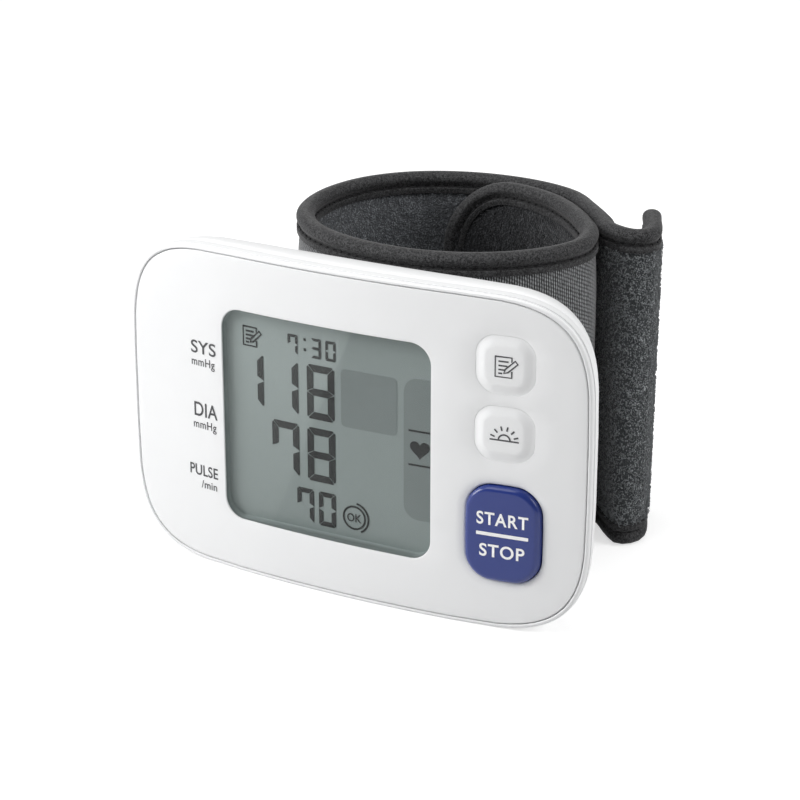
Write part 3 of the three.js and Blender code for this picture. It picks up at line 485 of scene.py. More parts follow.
# Housing shells
housing = {"cornerReach": 23.75, "cornerPower": 3.5, "rimWidth": 0.65, "bandDepth": 3.1, "panelDepth": 1.6,
           "gap": 0.3, "seam": 0.2, "seamLeft": 0.1, "seamDepth": 0.7, "ledge": 1.2, "rimRound": 0.4,
           "rimInnerRound": 0.16, "groove": 0.45, "grooveStart": 0.7, "grooveWidth": 0.5, "grooveLip": 0.04,
           "grooveWall": 0.06, "partingRound": 0.2, "rearRound": 9.0, "wall": 1.6, "draftStart": 1.5,
           "draftCurve": 0.175, "draftSlope": 0.29, "panelEdge": 0.18, "holeEdge": 0.2, "fineEdge": 0.08,
           "windowGap": 0.05, "startGap": 0.1, "smallGap": 0.02, "shelfShare": 0.9, "stepShare": 0.3,
           "leastShare": 0.02, "rearSpacing": 6.0, "sideSteps": 16}
squareCorner = {"power": housing["cornerPower"], "cornerSteps": 22}
housingOutline = {"x": 0.0, "z": midHeight, "radius": housing["cornerReach"], **squareCorner,
                  "width": frameHigh[0] - frameLow[0], "height": frameHigh[2] - frameLow[2]}
panelReach = housing["cornerReach"] - housing["rimWidth"] - housing["seam"]
panelOutline = {**outlineOf("face_panel", panelReach, housing["seam"] - housing["gap"]), **squareCorner}
panelOutline = changed(panelOutline, width=-housing["seamLeft"], x=housing["seamLeft"] / 2)

# What shows of a key is narrower than its node, which has a flange under the face
keySpec = {"startRadius": 4.2, "startTrim": 1.1, "startBow": 0.3, "startNarrow": 0.25, "startShort": 1.1,
           "smallRadius": 3.1, "smallTrim": 0.95, "smallBow": 0.2}
startOutline = outlineOf("start_stop_button", keySpec["startRadius"], keySpec["startTrim"],
                         keySpec["startBow"])
startOutline = changed(startOutline, width=-keySpec["startNarrow"], height=-keySpec["startShort"],
                       z=-keySpec["startShort"] / 6)
memoryOutline, averageOutline = (
    outlineOf(node, keySpec["smallRadius"], keySpec["smallTrim"], keySpec["smallBow"])
    for node in ("memory_button", "average_button"))
paneSpec = {"radius": 3.7, "left": 0.15, "foot": 0.2}
windowOutline = changed(outlineOf("display_window", paneSpec["radius"]), x=-paneSpec["left"] / 2,
                        width=paneSpec["left"], z=-paneSpec["foot"] / 2, height=paneSpec["foot"])

# The face dips softly round the start key
startHalo = ((1.7, 0.0), (1.35, 0.02), (1.0, 0.07), (0.7, 0.13), (0.4, 0.2), (0.2, 0.27), (0.07, 0.4),
             (0.0, 0.6))


def addFacePanel():
    holes = [(grown(windowOutline, housing["windowGap"]), roundEdge(housing["holeEdge"])),
             (grown(startOutline, housing["startGap"]), startHalo)]
    holes += [(grown(spec, housing["smallGap"]), roundEdge(housing["fineEdge"], 0, 3))
              for spec in (memoryOutline, averageOutline)]
    panel = crownedPlate("facePanel", panelOutline, roundEdge(housing["panelEdge"]), housing["panelDepth"],
                         whitePlastic, holes)
    dress(panel, "housing", "white_plastic", ["face_panel"])


# The right half is drawn in with depth: along a curve up to the parting line, then along a slope
def drawnIn(x, depth):
    if x <= 0:
        return x
    curved = max(min(depth, housing["bandDepth"]) - housing["draftStart"], 0)
    draft = housing["draftCurve"] * curved ** 2 + housing["draftSlope"] * max(depth - housing["bandDepth"], 0)
    return x * (1 - 2 * draft / housingOutline["width"])


# A closed band swept round the housing: its section is a loop of insets and depths behind the face. A fine
# groove parts its narrow front strip from its side.
def addMiddleFrame():
    inner, band, seam = housing["rimWidth"], housing["bandDepth"], housing["partingRound"]
    groove, lip, wall = housing["groove"], housing["grooveLip"], housing["grooveWall"]
    start, end = housing["grooveStart"], housing["grooveStart"] + housing["grooveWidth"]
    ledge, shelf = inner + housing["gap"] + housing["ledge"], housing["panelDepth"] + housing["gap"]
    step, stepDepth = inner + housing["seam"] * housing["shelfShare"], housing["seamDepth"]
    section = [(inner - inset, depth) for inset, depth in roundEdge(housing["rimInnerRound"], 0, 4)][::-1]
    section += [*roundEdge(housing["rimRound"]), (0.0, start), (lip, start + lip), (groove, start + wall),
                (groove, end - wall), (lip, end - lip), (0.0, end)]
    section += [(seam * (1 - math.cos(turn)), band - seam * (1 - math.sin(turn))) for turn in quarterTurns(4)]
    section += [(ledge, band), (ledge, shelf), (step, shelf), (step, stepDepth), (inner, stepDepth)]
    points, rings = [], []
    for inset, depth in section:
        flat = outline(housingOutline, -inset, sideSteps=housing["sideSteps"])
        if inset < inner:
            flat = [(drawnIn(x, depth), z) for x, z in flat]
        rings.append(addRing(points, [(x, faceY(x, depth), z) for x, z in flat]))
    frameBand = meshPiece("middleFrame", points, sweepFaces(rings, closed=True), whitePlastic)
    dress(frameBand, "housing", "white_plastic", ["middle_frame"])


# The back shell, hollow and open at the front: its walls curve in along a quarter ellipse
def rearShell(name):
    points, rings = [], []
    start = housing["bandDepth"] + housing["gap"]
    wall, reach, seam = housing["wall"], housing["rearRound"], housing["partingRound"]
    turns = quarterTurns(14)

    def addShare(inset, share, back):
        ring = []
        for x, z in outline(housingOutline, -inset, sideSteps=housing["sideSteps"]):
            x = drawnIn(x, start + share * (back - faceY(x, start)))
            ring.append((x, faceY(x, start) + share * (back - faceY(x, start)), z))
        rings.append(addRing(points, ring))

    for turn in turns[::-1]:
        addShare(wall + (reach - wall) * (1 - math.cos(turn)), math.sin(turn), backY - wall)
    addShare(seam, 0.0, backY)
    for turn in turns:
        inset = reach * (1 - math.cos(turn)) + (seam * housing["stepShare"] if turn == 0 else 0)
        addShare(inset, max(math.sin(turn), housing["leastShare"]), backY)
    faces = sweepFaces(rings)
    for ring, turn in ((rings[0], 1), (rings[-1], -1)):
        depth = points[ring[0]][1]
        faces += fillEnd(points, [ring], housing["rearSpacing"], lambda x: depth, turn)
    return meshPiece(name, points, faces, whitePlastic)


# A straight prism along Y
def prism(name, spec, front, back, material, cornerSteps=8):
    flat, points = outline(spec, 0, cornerSteps, 2), []
    near, far = (addRing(points, [(x, y, z) for x, z in flat]) for y in (front, back))
    return meshPiece(name, points, ringFaces(near, far) + [tuple(near), tuple(far[::-1])], material)


def cutWith(piece, tools, operation):
    for tool in tools:
        change = piece.modifiers.new("cut", "BOOLEAN")
        change.operation = operation
        change.solver = "EXACT"
        change.object = tool
    name = piece.name
    piece.name = name + "Raw"
    made = bakePiece(piece, name)
    for tool in tools:
        bpy.data.objects.remove(tool)
    return made


coverLow, coverHigh = boxOf("battery_cover")
cover = {"round": 2.0, "gap": 0.28, "overlap": 20.0, "latch": 2.0, "screwOverlap": 5.0}
grip = {"ribs": 5, "first": -34.5, "pitch": 1.7, "length": 15.0, "height": 0.45, "halfWidth": 0.45,
        "sunk": 0.3, "taperShares": (-1, -0.97, -0.9, -0.75, 0, 0.75, 0.9, 0.97, 1), "taperPower": 8,
        "leastTaper": 0.01}


def coverRegion(grow):
    left = coverLow[0] - cover["overlap"]
    right = coverHigh[0] - cover["latch"] + grow
    return {"x": (left + right) / 2, "z": midHeight, "width": right - left,
            "height": coverHigh[2] - coverLow[2] + 2 * grow, "radius": cover["round"] + grow}


def addRearCase():
    tools = [prism("cutter", coverRegion(cover["gap"]), coverLow[1] - cover["gap"], backY + cover["overlap"],
                   whitePlastic)]
    for name in ("case_screw_1", "case_screw_2"):
        low, high = boxOf(name)
        bore = outlineOf(name, (high[0] - low[0]) / 2, -housing["gap"])
        tools.append(prism("cutter", bore, low[1], backY + cover["screwOverlap"], whitePlastic, 10))
    case = cutWith(rearShell("rearCase"), tools, "DIFFERENCE")
    dress(case, "housing", "white_plastic", ["rear_case"])


def addBatteryCover():
    tool = prism("cutter", coverRegion(0), coverLow[1], backY + cover["overlap"], whitePlastic)
    lid = cutWith(rearShell("batteryCover"), [tool], "INTERSECT")
    dress(lid, "battery_cover", "white_plastic", ["battery_cover"])


# Rounded bars that a thumb pushes to slide the cover off; each one tapers to its ends
def addGrip():
    points, faces = [], []
    arch = [step / 8 * math.pi for step in range(9)]
    for order in range(grip["ribs"]):
        x, rings = grip["first"] + order * grip["pitch"], []
        for share in grip["taperShares"]:
            size = math.sqrt(max(1 - abs(share) ** grip["taperPower"], grip["leastTaper"]))
            half, foot = grip["halfWidth"] * size, backY - grip["sunk"]
            ring = [(x - half * math.cos(turn), backY + grip["height"] * size * math.sin(turn))
                    for turn in arch] + [(x + half, foot), (x - half, foot)]
            rings.append(addRing(points, [(u, v, midHeight + share * grip["length"] / 2) for u, v in ring]))
        faces += sweepFaces(rings) + [tuple(rings[0]), tuple(rings[-1][::-1])]
    dress(meshPiece("coverGrip", points, faces, whitePlastic), "battery_cover", "white_plastic")


addFacePanel()
addMiddleFrame()
addRearCase()
addBatteryCover()
addGrip()
print("housing shells made")


# Buttons
buttonSpec = {"startLift": 0.8, "startEdge": 1.0, "smallLift": 0.44, "smallSlope": 2.0, "sink": 0.03,
              "depth": 2.6, "spacing": 1.5}
startCrown = roundEdge(buttonSpec["startEdge"], buttonSpec["startLift"], 9)
smallCrown = pillowEdge(buttonSpec["smallSlope"], buttonSpec["smallLift"], buttonSpec["sink"])
for name, spec, edge, material, slot, node in (
        ("startButton", startOutline, startCrown, bluePlastic, "blue_plastic", "start_stop_button"),
        ("memoryButton", memoryOutline, smallCrown, whitePlastic, "white_plastic", "memory_button"),
        ("averageButton", averageOutline, smallCrown, whitePlastic, "white_plastic", "average_button")):
    key = crownedPlate(name, spec, edge, buttonSpec["depth"], material, spacing=buttonSpec["spacing"])
    dress(key, node, slot, [node])
print("buttons made")


# Display: a tinted pane, a sloping well behind it and the figures on the cell
display = {"paneEdge": 0.2, "paneDepth": 1.2, "paneSink": 0.06, "wellFront": 0.16, "wellWidth": 0.15,
           "wellInset": 0.03, "wellBack": 0.02, "film": 0.65, "filmReach": 0.8, "seat": 0.02}
cellY = boxOf("lcd_panel")[0][1]
displayY = cellY - display["film"]
# The well's wall is painted darker at the window's edge and paler towards the film: painted shade inside the
# recess
wellShadedPlastic = coveShadeMaterial("wellShadedPlastic", (0.19, 0.222, 0.216), (0.36, 0.42, 0.41),
                           faceApex + display["paneDepth"], displayY)


def addWindow():
    pane = crownedPlate("displayPane", windowOutline, roundEdge(display["paneEdge"], -display["paneSink"], 4),
                        display["paneDepth"], windowGlass)
    dress(pane, "housing", "clear_window", ["display_window"])


# A clear film on the cell carries the figures
def addFilm():
    film = prism("displayFilm", grown(windowOutline, display["filmReach"]), displayY, cellY - display["seat"],
                 displayGlass)
    dress(film, "housing", "display_cell")


# The well runs from the window's edge back to the film, hollowed like a cove
def addWell():
    points, rings = [], []
    cove = [(-display["wellInset"] - display["wellWidth"] * (1 - math.cos(turn)), math.sin(turn))
            for turn in quarterTurns(8)]
    for grow, share in [*cove, (display["wellBack"], 1.0), (display["wellBack"], 0.0)]:
        ring = []
        for x, z in outline(windowOutline, grow):
            near = faceY(x, display["wellFront"])
            ring.append((x, near + share * (displayY - display["seat"] - near), z))
        rings.append(addRing(points, ring))
    well = meshPiece("displayWell", points, sweepFaces(rings, True, True), wellShadedPlastic)
    dress(well, "housing", "inner_plastic", ["lcd_frame"])


# How far marks stand off the cell and the face, and how thick they are
ink = {"cellLift": 0.04, "faceLift": 0.02, "thickness": 0.03, "thin": 0.01, "film": 0.025, "flatness": 0.1}


# Where a mark seen at a place on the face lies on the cell behind the glass
def behindGlass(x, z):
    eyeX, eyeY, eyeZ = cameraSpec["place"]
    depth = (displayY - faceY(x)) / (faceY(x) - eyeY)
    return x + (x - eyeX) * depth, z + (z - eyeZ) * depth


def onCell(x, rise, lift=0.0):
    u, v = behindGlass(x, midHeight + rise)
    return u, displayY - ink["cellLift"] - lift, v


def onFace(x, rise, lift=0.0):
    return x, faceY(x) - ink["faceLift"] - lift, midHeight + rise


# The same, raised onto a key's crown
def onKey(crown):
    return lambda x, rise, lift=0.0: onFace(x, rise, lift + crown)


# Flat marks as thin closed tiles: polygons seen from the front, anticlockwise
def addTiles(name, polygons, place, material, body, slot, thickness=ink["thickness"]):
    points, faces = [], []
    for polygon in polygons:
        front, back = (addRing(points, [place(x, rise, lift) for x, rise in polygon])
                       for lift in (thickness, 0))
        faces += [tuple(front), tuple(back[::-1])] + ringFaces(front, back)
    dress(meshPiece(name, points, faces, material), body, slot)


# Seven bars of a figure with mitred ends: a and d lie at the top and foot, b, c, e and f upright, g between
figureBars = {"0": "abcdef", "1": "bc", "3": "abcdg", "7": "abcf", "8": "abcdefg"}
figureShares = {"gap": 0.07, "cut": 0.36}


def figure(digit, shift, row):
    left, bottom, width, height, stroke = (row[key] for key in ("left", "bottom", "width", "height", "stroke"))
    gap, cut, middle = stroke * figureShares["gap"], stroke * figureShares["cut"], height / 2
    level = [(cut, height), (cut / 2 + gap, height - cut / 2), (stroke + gap, height - stroke),
             (width - stroke - gap, height - stroke), (width - cut / 2 - gap, height - cut / 2),
             (width - cut, height)]
    upright = [(width, middle + gap), (width, height - cut), (width - cut / 2, height - cut / 2 - gap),
               (width - stroke, height - stroke - gap), (width - stroke, middle + stroke / 2 + gap)]
    waist = [(gap * 2, middle), (stroke, middle - stroke / 2), (width - stroke, middle - stroke / 2),
             (width - gap * 2, middle), (width - stroke, middle + stroke / 2), (stroke, middle + stroke / 2)]
    shapes = {"a": (level, 1, 1), "d": (level, 1, -1), "b": (upright, 1, 1), "c": (upright, 1, -1),
              "e": (upright, -1, -1), "f": (upright, -1, 1), "g": (waist, 1, 1)}
    bars = []
    for shape, across, up in (shapes[bar] for bar in figureBars[digit]):
        placed = [(left + shift + (u if across > 0 else width - u), bottom + (v if up > 0 else height - v))
                  for u, v in shape]
        bars.append(placed if across * up > 0 else placed[::-1])
    return bars


figureRows = (
    {"left": -10.1, "bottom": 13.75, "width": 2.0, "height": 3.6, "stroke": 0.5,
     "digits": (("7", 0), ("3", 4.65), ("0", 7.5))},
    {"left": -18.6, "bottom": 2.7, "width": 5.4, "height": 9.9, "stroke": 1.3,
     "digits": (("1", -2.0), ("1", 5.1), ("8", 12.25))},
    {"left": -13.6, "bottom": -8.8, "width": 5.55, "height": 9.9, "stroke": 1.3,
     "digits": (("7", 0), ("8", 7.2))},
    {"left": -8.65, "bottom": -16.9, "width": 3.4, "height": 6.4, "stroke": 0.9,
     "digits": (("7", 0), ("0", 4.4))},
)
colon = {"x": -6.9, "rises": (14.75, 16.55), "size": 0.5}
shadeSquare = {"x": 5.65, "z": 7.65, "width": 10.65, "height": 10.4, "radius": 0.9}
shadeTab = {"x": 16.6, "z": 0.6, "width": 8.8, "height": 25.6, "radius": 2.6}
shadeEnd = 19.0


def addFigures():
    bars = [bar for row in figureRows for digit, shift in row["digits"] for bar in figure(digit, shift, row)]
    size = colon["size"]
    bars += [[(colon["x"] + u, rise + v) for u, v in ((0, 0), (size, 0), (size, size), (0, size))]
             for rise in colon["rises"]]
    addTiles("displayFigures", bars, onCell, displayInk, "housing", "display_cell")
    shades = [[(min(x, shadeEnd), z) for x, z in outline(spec, 0, 6, 2)] for spec in (shadeSquare, shadeTab)]
    addTiles("displayShades", shades, onCell, displayShade, "housing", "display_cell", ink["thin"])


# Line art: strokes as flattened tubes that follow the face or lie on the cell
def addStrokes(name, strokes, width, place, material, body, slot):
    data = bpy.data.curves.new(name, "CURVE")
    data.dimensions = "3D"
    data.bevel_depth = width / 2
    data.bevel_resolution = 2
    data.use_fill_caps = True
    for stroke in strokes:
        closed = stroke[0] == stroke[-1]
        corners = stroke[:-1] if closed else stroke
        spline = data.splines.new("POLY")
        spline.points.add(len(corners) - 1)
        spline.use_cyclic_u = closed
        for point, (x, z) in zip(spline.points, corners):
            point.co = (x, 0, z, 1)
    piece = bakePiece(bpy.data.objects.new(name + "Line", data), name, material)
    return settle(piece, place, body, slot, lambda co: (co.x, co.z, co.y))


# Puts a flat drawing in millimetres onto its surface, flattened to a film of ink
def settle(piece, place, body, slot, read):
    for vertex in piece.data.vertices:
        x, rise, out = read(vertex.co)
        vertex.co = [value * mm for value in place(x, rise, ink["film"] - ink["flatness"] * out)]
    return dress(piece, body, slot)


def arc(x, z, radius, start, end, steps=20):
    turns = [math.radians(start + (end - start) * step / steps) for step in range(steps + 1)]
    return [(x + radius * math.cos(turn), z + radius * math.sin(turn)) for turn in turns]


# A sheet of paper with lines of writing and a pencil across its corner
def noteStrokes(x, z, size):
    sheet = [(-1, 1), (0.62, 1), (0.62, 0.55), (0.62, 1), (-1, 1), (-1, -1), (0.62, -1), (0.62, -0.35)]
    lines = [[(-0.68, level), (reach, level)] for level, reach in
             ((0.55, 0.3), (0.12, 0.2), (-0.28, -0.05), (-0.64, -0.3))]
    pencil = [(-0.15, -0.62), (-0.02, -0.2), (0.95, 0.72), (1.2, 0.42), (0.26, -0.48), (-0.15, -0.62)]
    return [[(x + size * u, z + size * v) for u, v in stroke] for stroke in [sheet, *lines, pencil]]


# A half sun above a level line
def sunStrokes(x, z, size):
    rays = [[(x + size * reach * math.cos(turn), z + size * reach * math.sin(turn)) for reach in (0.72, 1.05)]
            for turn in [math.radians(angle) for angle in (18, 47, 76, 104, 133, 162)]]
    return [arc(x, z, size * 0.42, 0, 180), [(x - size * 1.05, z - 0.02), (x + size * 1.05, z - 0.02)], *rays]


def heartShape(x, z, size):
    turns = [step / 40 * 2 * math.pi for step in range(40)]
    return [(x + size * math.sin(turn) ** 3, z + size * (13 * math.cos(turn) - 5 * math.cos(2 * turn)
             - 2 * math.cos(3 * turn) - math.cos(4 * turn)) / 16) for turn in turns]


icons = {"note": (0.2, -0.1, 1.75), "sun": (0.2, -0.85, 2.4), "keyStroke": 0.27, "displayStroke": 0.36,
         "displayNote": (-17.6, 15.35, 1.7), "okRing": (2.75, -14.1, 2.1),
         "okArc": (2.75, -14.1, 2.75, -62, 80), "barLevels": (4.0, -2.15), "barSides": (13.1, 17.3),
         "heart": (15.2, 0.8, 1.85)}


def addIcons():
    keyFace = onKey(buttonSpec["smallLift"])
    for name, spec, draw, sign, node in (
            ("memoryIcon", memoryOutline, noteStrokes, "note", "memory_button"),
            ("averageIcon", averageOutline, sunStrokes, "sun", "average_button")):
        x, z, size = icons[sign]
        strokes = draw(spec["x"] + x, spec["z"] - midHeight + z, size)
        addStrokes(name, strokes, icons["keyStroke"], keyFace, labelInk, node, "dark_component")
    ring = arc(*icons["okRing"], 0, 360)
    marks = noteStrokes(*icons["displayNote"]) + [ring[:-1] + ring[:1], arc(*icons["okArc"])]
    marks += [[(x, level) for x in icons["barSides"]] for level in icons["barLevels"]]
    addStrokes("displayMarks", marks, icons["displayStroke"], onCell, displayInk, "housing", "display_cell")
    heart = heartShape(*icons["heart"])[::-1]
    addTiles("displayHeart", [heart], onCell, displayInk, "housing", "display_cell")


# Words in a plain typeface, generic labels only, each fitted between its sides and from its foot to its top
lettering = {"capShare": 0.7, "bold": 0.012, "spacing": 1.03, "depth": 0.02}
words = (
    {"text": "SYS", "sides": (-30.9, -25.45), "rise": (9.9, 12.3), "bold": 0.03},
    {"text": "mmHg", "sides": (-30.85, -25.75), "rise": (7.15, 9.15), "spacing": 1.08},
    {"text": "DIA", "sides": (-30.6, -25.45), "rise": (-1.9, 0.75), "bold": 0.03},
    {"text": "mmHg", "sides": (-30.85, -25.75), "rise": (-4.65, -2.65), "spacing": 1.08},
    {"text": "PULSE", "sides": (-32.0, -25.7), "rise": (-13.3, -11.2), "bold": 0.03},
    {"text": "/min", "sides": (-29.5, -26.0), "rise": (-15.6, -14.1)},
)
okWord = {"text": "OK", "sides": (1.35, 4.15), "rise": (-14.9, -13.35), "bold": 0.04}
keyWords = {"shift": 0.25, "height": 2.35, "bold": 0.065, "spacing": 1.12, "rows": (("START", 4.5, 1.75),
            ("STOP", 3.95, -4.05)), "barRise": 0.1, "barWidth": 9.1, "barHeight": 0.62, "barRadius": 0.1}


def addWord(name, spec, place, material, body, slot):
    spec = {**lettering, **spec}
    data = bpy.data.curves.new(name, "FONT")
    data.body = spec["text"]
    data.size = (spec["rise"][1] - spec["rise"][0]) / spec["capShare"]
    data.offset = spec["bold"]
    data.space_character = spec["spacing"]
    data.extrude = spec["depth"]
    piece = bakePiece(bpy.data.objects.new(name + "Text", data), name, material)
    xs, ys = ([vertex.co[axis] for vertex in piece.data.vertices] for axis in (0, 1))
    wide = (spec["sides"][1] - spec["sides"][0]) / (max(xs) - min(xs))
    tall = (spec["rise"][1] - spec["rise"][0]) / (max(ys) - min(ys))
    left, foot = spec["sides"][0] - min(xs) * wide, spec["rise"][0] - min(ys) * tall
    return settle(piece, place, body, slot, lambda co: (left + co.x * wide, foot + co.y * tall, -co.z))


def addWords():
    for order, spec in enumerate(words):
        addWord(f"faceWord{order + 1}", spec, onFace, labelInk, "housing", "dark_component")
    keyX, keyZ = startOutline["x"] + keyWords["shift"], startOutline["z"] - midHeight
    keyFace = onKey(buttonSpec["startLift"])
    for order, (text, half, foot) in enumerate(keyWords["rows"]):
        spec = {**keyWords, "text": text, "sides": (keyX - half, keyX + half),
                "rise": (keyZ + foot, keyZ + foot + keyWords["height"])}
        addWord(f"keyWord{order + 1}", spec, keyFace, whiteInk, "start_stop_button", "white_plastic")
    bar = {"x": keyX, "z": keyZ + keyWords["barRise"], "width": keyWords["barWidth"],
           "height": keyWords["barHeight"], "radius": keyWords["barRadius"]}
    addTiles("keyBar", [outline(bar, 0, 3, 6)], keyFace, whiteInk, "start_stop_button", "white_plastic")
    addWord("displayWord", okWord, onCell, displayInk, "housing", "display_cell")


addWindow()
addFilm()
addWell()
addFigures()
addIcons()
addWords()
print("display, signs and words made")


# Cuff: one strip from the inner flap round the loop to the loose tail, its route repeated from the part
cuff = {
    "height": boxOf("sleeve_binding")[1][2], "thickness": 3.0, "loopWidth": 57.8, "loopDepth": 52.9,
    "gap": 0.3, "ringStart": -28.0, "ringTurn": -18.0, "ringKnots": 14, "wrapKnot": 6, "tailKnot": 3,
    "bulgeShare": 0.03, "leftSwell": 0.034, "divisions": 40,
    "flapShares": ((-0.46, 0.735), (-0.282, 0.812), (-0.104, 0.838), (0.144, 0.808), (0.394, 0.692),
                   (0.603, 0.506), (0.778, 0.285), (0.91, 0.065), (0.965, -0.205)),
    "tailShares": ((0.192, 0.972), (0.469, 0.857), (0.672, 0.642), (0.878, 0.389), (0.99, 0.232),
                   (1.19, 0.162), (1.263, 0.246), (1.115, 0.68), (1.085, 0.79)),
    "flapRadius": 14.0, "tailRadius": 3.0, "wrapZone": 11.0, "tailBefore": 1.0, "tailAfter": 9.0,
    "leanStart": 6.0, "leanRise": 5, "leanFade": 0.4, "edgeInset": 1.3, "step": 1.2, "core": 0.02,
    "puff": 0.12, "tuckIn": 0.8, "swellPower": 6, "rows": 18, "endSteps": 12, "fill": 0.4,
}
loopHalfWidth = (cuff["loopWidth"] - cuff["thickness"]) / 2
loopHalfDepth = (cuff["loopDepth"] - cuff["thickness"]) / 2
loopMiddleY = backY + cuff["gap"] + cuff["loopDepth"] / 2


def cuffKnots():
    knots = list(cuff["flapShares"])
    for knot in range(cuff["ringKnots"]):
        angle = math.radians(cuff["ringStart"] + knot * cuff["ringTurn"])
        bulge = 1 + cuff["bulgeShare"] * math.sin(2 * angle) ** 2 if math.cos(angle) < 0 else 1
        swell = 1 + cuff["leftSwell"] * max(-math.cos(angle), 0)
        knots.append((bulge * swell * math.cos(angle), bulge * math.sin(angle)))
    knots += cuff["tailShares"]
    return [np.array((u * loopHalfWidth, loopMiddleY + v * loopHalfDepth)) for u, v in knots]


# A centripetal spline through the knots, sampled evenly enough to be read by length
def cuffRoute():
    knots = cuffKnots()
    padded = [2 * knots[0] - knots[1], *knots, 2 * knots[-1] - knots[-2]]
    places = []
    for a, b, c, d in zip(padded, padded[1:], padded[2:], padded[3:]):
        d0, d1, d2 = (math.sqrt(np.linalg.norm(q - p)) for p, q in ((a, b), (b, c), (c, d)))
        leave = ((b - a) / d0 - (c - a) / (d0 + d1) + (c - b) / d1) * d1
        arrive = ((c - b) / d1 - (d - b) / (d1 + d2) + (d - c) / d2) * d1
        for step in range(cuff["divisions"]):
            t = step / cuff["divisions"]
            places.append(b + leave * t + (3 * (c - b) - 2 * leave - arrive) * t ** 2
                          + (2 * (b - c) + leave + arrive) * t ** 3)
    places = np.array([*places, knots[-1]])
    return places, np.concatenate([[0], np.cumsum(np.linalg.norm(np.diff(places, axis=0), axis=1))])


routePlaces, routeLengths = cuffRoute()
routeHeadings = np.gradient(routePlaces, routeLengths, axis=0)
cuffLength = routeLengths[-1]
wrapPlace, tailPlace = (routeLengths[(len(cuff["flapShares"]) + knot) * cuff["divisions"]]
                        for knot in (cuff["wrapKnot"], cuff["ringKnots"] + cuff["tailKnot"]))

# The loose tail flares towards the front at its foot
tailLean = (1.35, -5.4)


def cuffPoint(along, out, height):
    x, y, hx, hy = (np.interp(along, routeLengths, column) for column in (*routePlaces.T, *routeHeadings.T))
    size = math.hypot(hx, hy)
    first = tailPlace + cuff["leanStart"]
    loose = max(along - first, 0) / (cuffLength - first)
    lean = min(loose * cuff["leanRise"], 1) * (1 - height / cuff["height"]) * (1 - cuff["leanFade"] * loose)
    return (x - out * hy / size + lean * tailLean[0], y + out * hx / size + lean * tailLean[1], height)


# Stations along a stretch with the low edge there; a rounded end turns about one radius in
def stations(start, end, inset, startRadius=0.0, endRadius=0.0):
    first, last = start + startRadius, end - endRadius
    steps = math.ceil((last - first) / cuff["step"])
    made = [(first + (last - first) * step / steps, inset) for step in range(steps + 1)]
    turns = quarterTurns(cuff["endSteps"])[:-1]
    if startRadius:
        made = [(start + startRadius - (startRadius - inset) * math.cos(turn),
                 startRadius - (startRadius - inset) * math.sin(turn)) for turn in turns] + made
    if endRadius:
        made += [(end - endRadius + (endRadius - inset) * math.cos(turn),
                  endRadius - (endRadius - inset) * math.sin(turn)) for turn in turns[::-1]]
    return made


# A padded layer of the strip between two offsets; its shown face swells between the bindings
def stripLayer(name, places, shown, hidden, material):
    rows = cuff["rows"]
    points, uv, rings = [], [], []
    side = 1 if shown > 0 else -1
    shares = [row / rows for row in range(rows + 1)]
    swells = [(cuff["puff"] + cuff["tuckIn"]) * (1 - (2 * share - 1) ** cuff["swellPower"]) - cuff["tuckIn"]
              for share in shares]
    for along, low in places:
        heights = [low + share * (cuff["height"] - 2 * low) for share in shares]
        ring = [cuffPoint(along, shown + side * swell, height) for swell, height in zip(swells, heights)]
        rings.append(addRing(points, ring + [cuffPoint(along, hidden, height) for height in heights[::-1]]))
        uv += [(along, height) for height in heights + heights[::-1]]
    faces = sweepFaces(rings, side < 0)
    for ring, turn in ((rings[0], 1), (rings[-1], -1)):
        faces += [(ring[row], ring[row + 1], ring[-2 - row], ring[-1 - row])[::turn * side]
                  for row in range(rows)]
    return meshPiece(name, points, faces, material, uv)


# Binding: a rolled edge, a sewn-in crease and a flat margin, as across and down from the strip's edge
binding = {"rollHalf": 1.72, "rollHeight": 2.55, "rollStart": -42, "rollTurn": 264, "rollSteps": 22,
           "crease": 1.12, "creaseDown": 2.66, "margin": 1.68, "marginStart": 2.95, "marginEnd": 3.95,
           "marginTaper": (0.06, 0.12), "tuck": 1.3, "cornerSteps": 14, "riseSteps": (16, 24)}


def bindingSection():
    steps, end = binding["rollSteps"], binding["marginEnd"]
    turns = [math.radians(binding["rollStart"] + binding["rollTurn"] * step / steps)
             for step in range(steps + 1)]
    roll = [(binding["rollHalf"] * math.cos(turn), binding["rollHeight"] / 2 * (1 - math.sin(turn)))
            for turn in turns]
    taper = binding["marginTaper"]
    right = [(binding["tuck"], end), (binding["margin"] - taper[0], end), (binding["margin"], end - taper[1]),
             (binding["margin"], binding["marginStart"]), (binding["crease"], binding["creaseDown"])]
    return right + roll + [(-across, down) for across, down in right[::-1]]


def straightRoute(start, end, height, up):
    steps = math.ceil(abs(end - start) / cuff["step"])
    return [(start + (end - start) * step / steps, height, (0, up)) for step in range(steps + 1)]


def cornerRoute(along, height, radius, start):
    steps = binding["cornerSteps"]
    outs = [(math.cos(turn), math.sin(turn))
            for turn in (math.radians(start + 90 * step / steps) for step in range(1, steps))]
    return [(along + radius * u, height + radius * v, (u, v)) for u, v in outs]


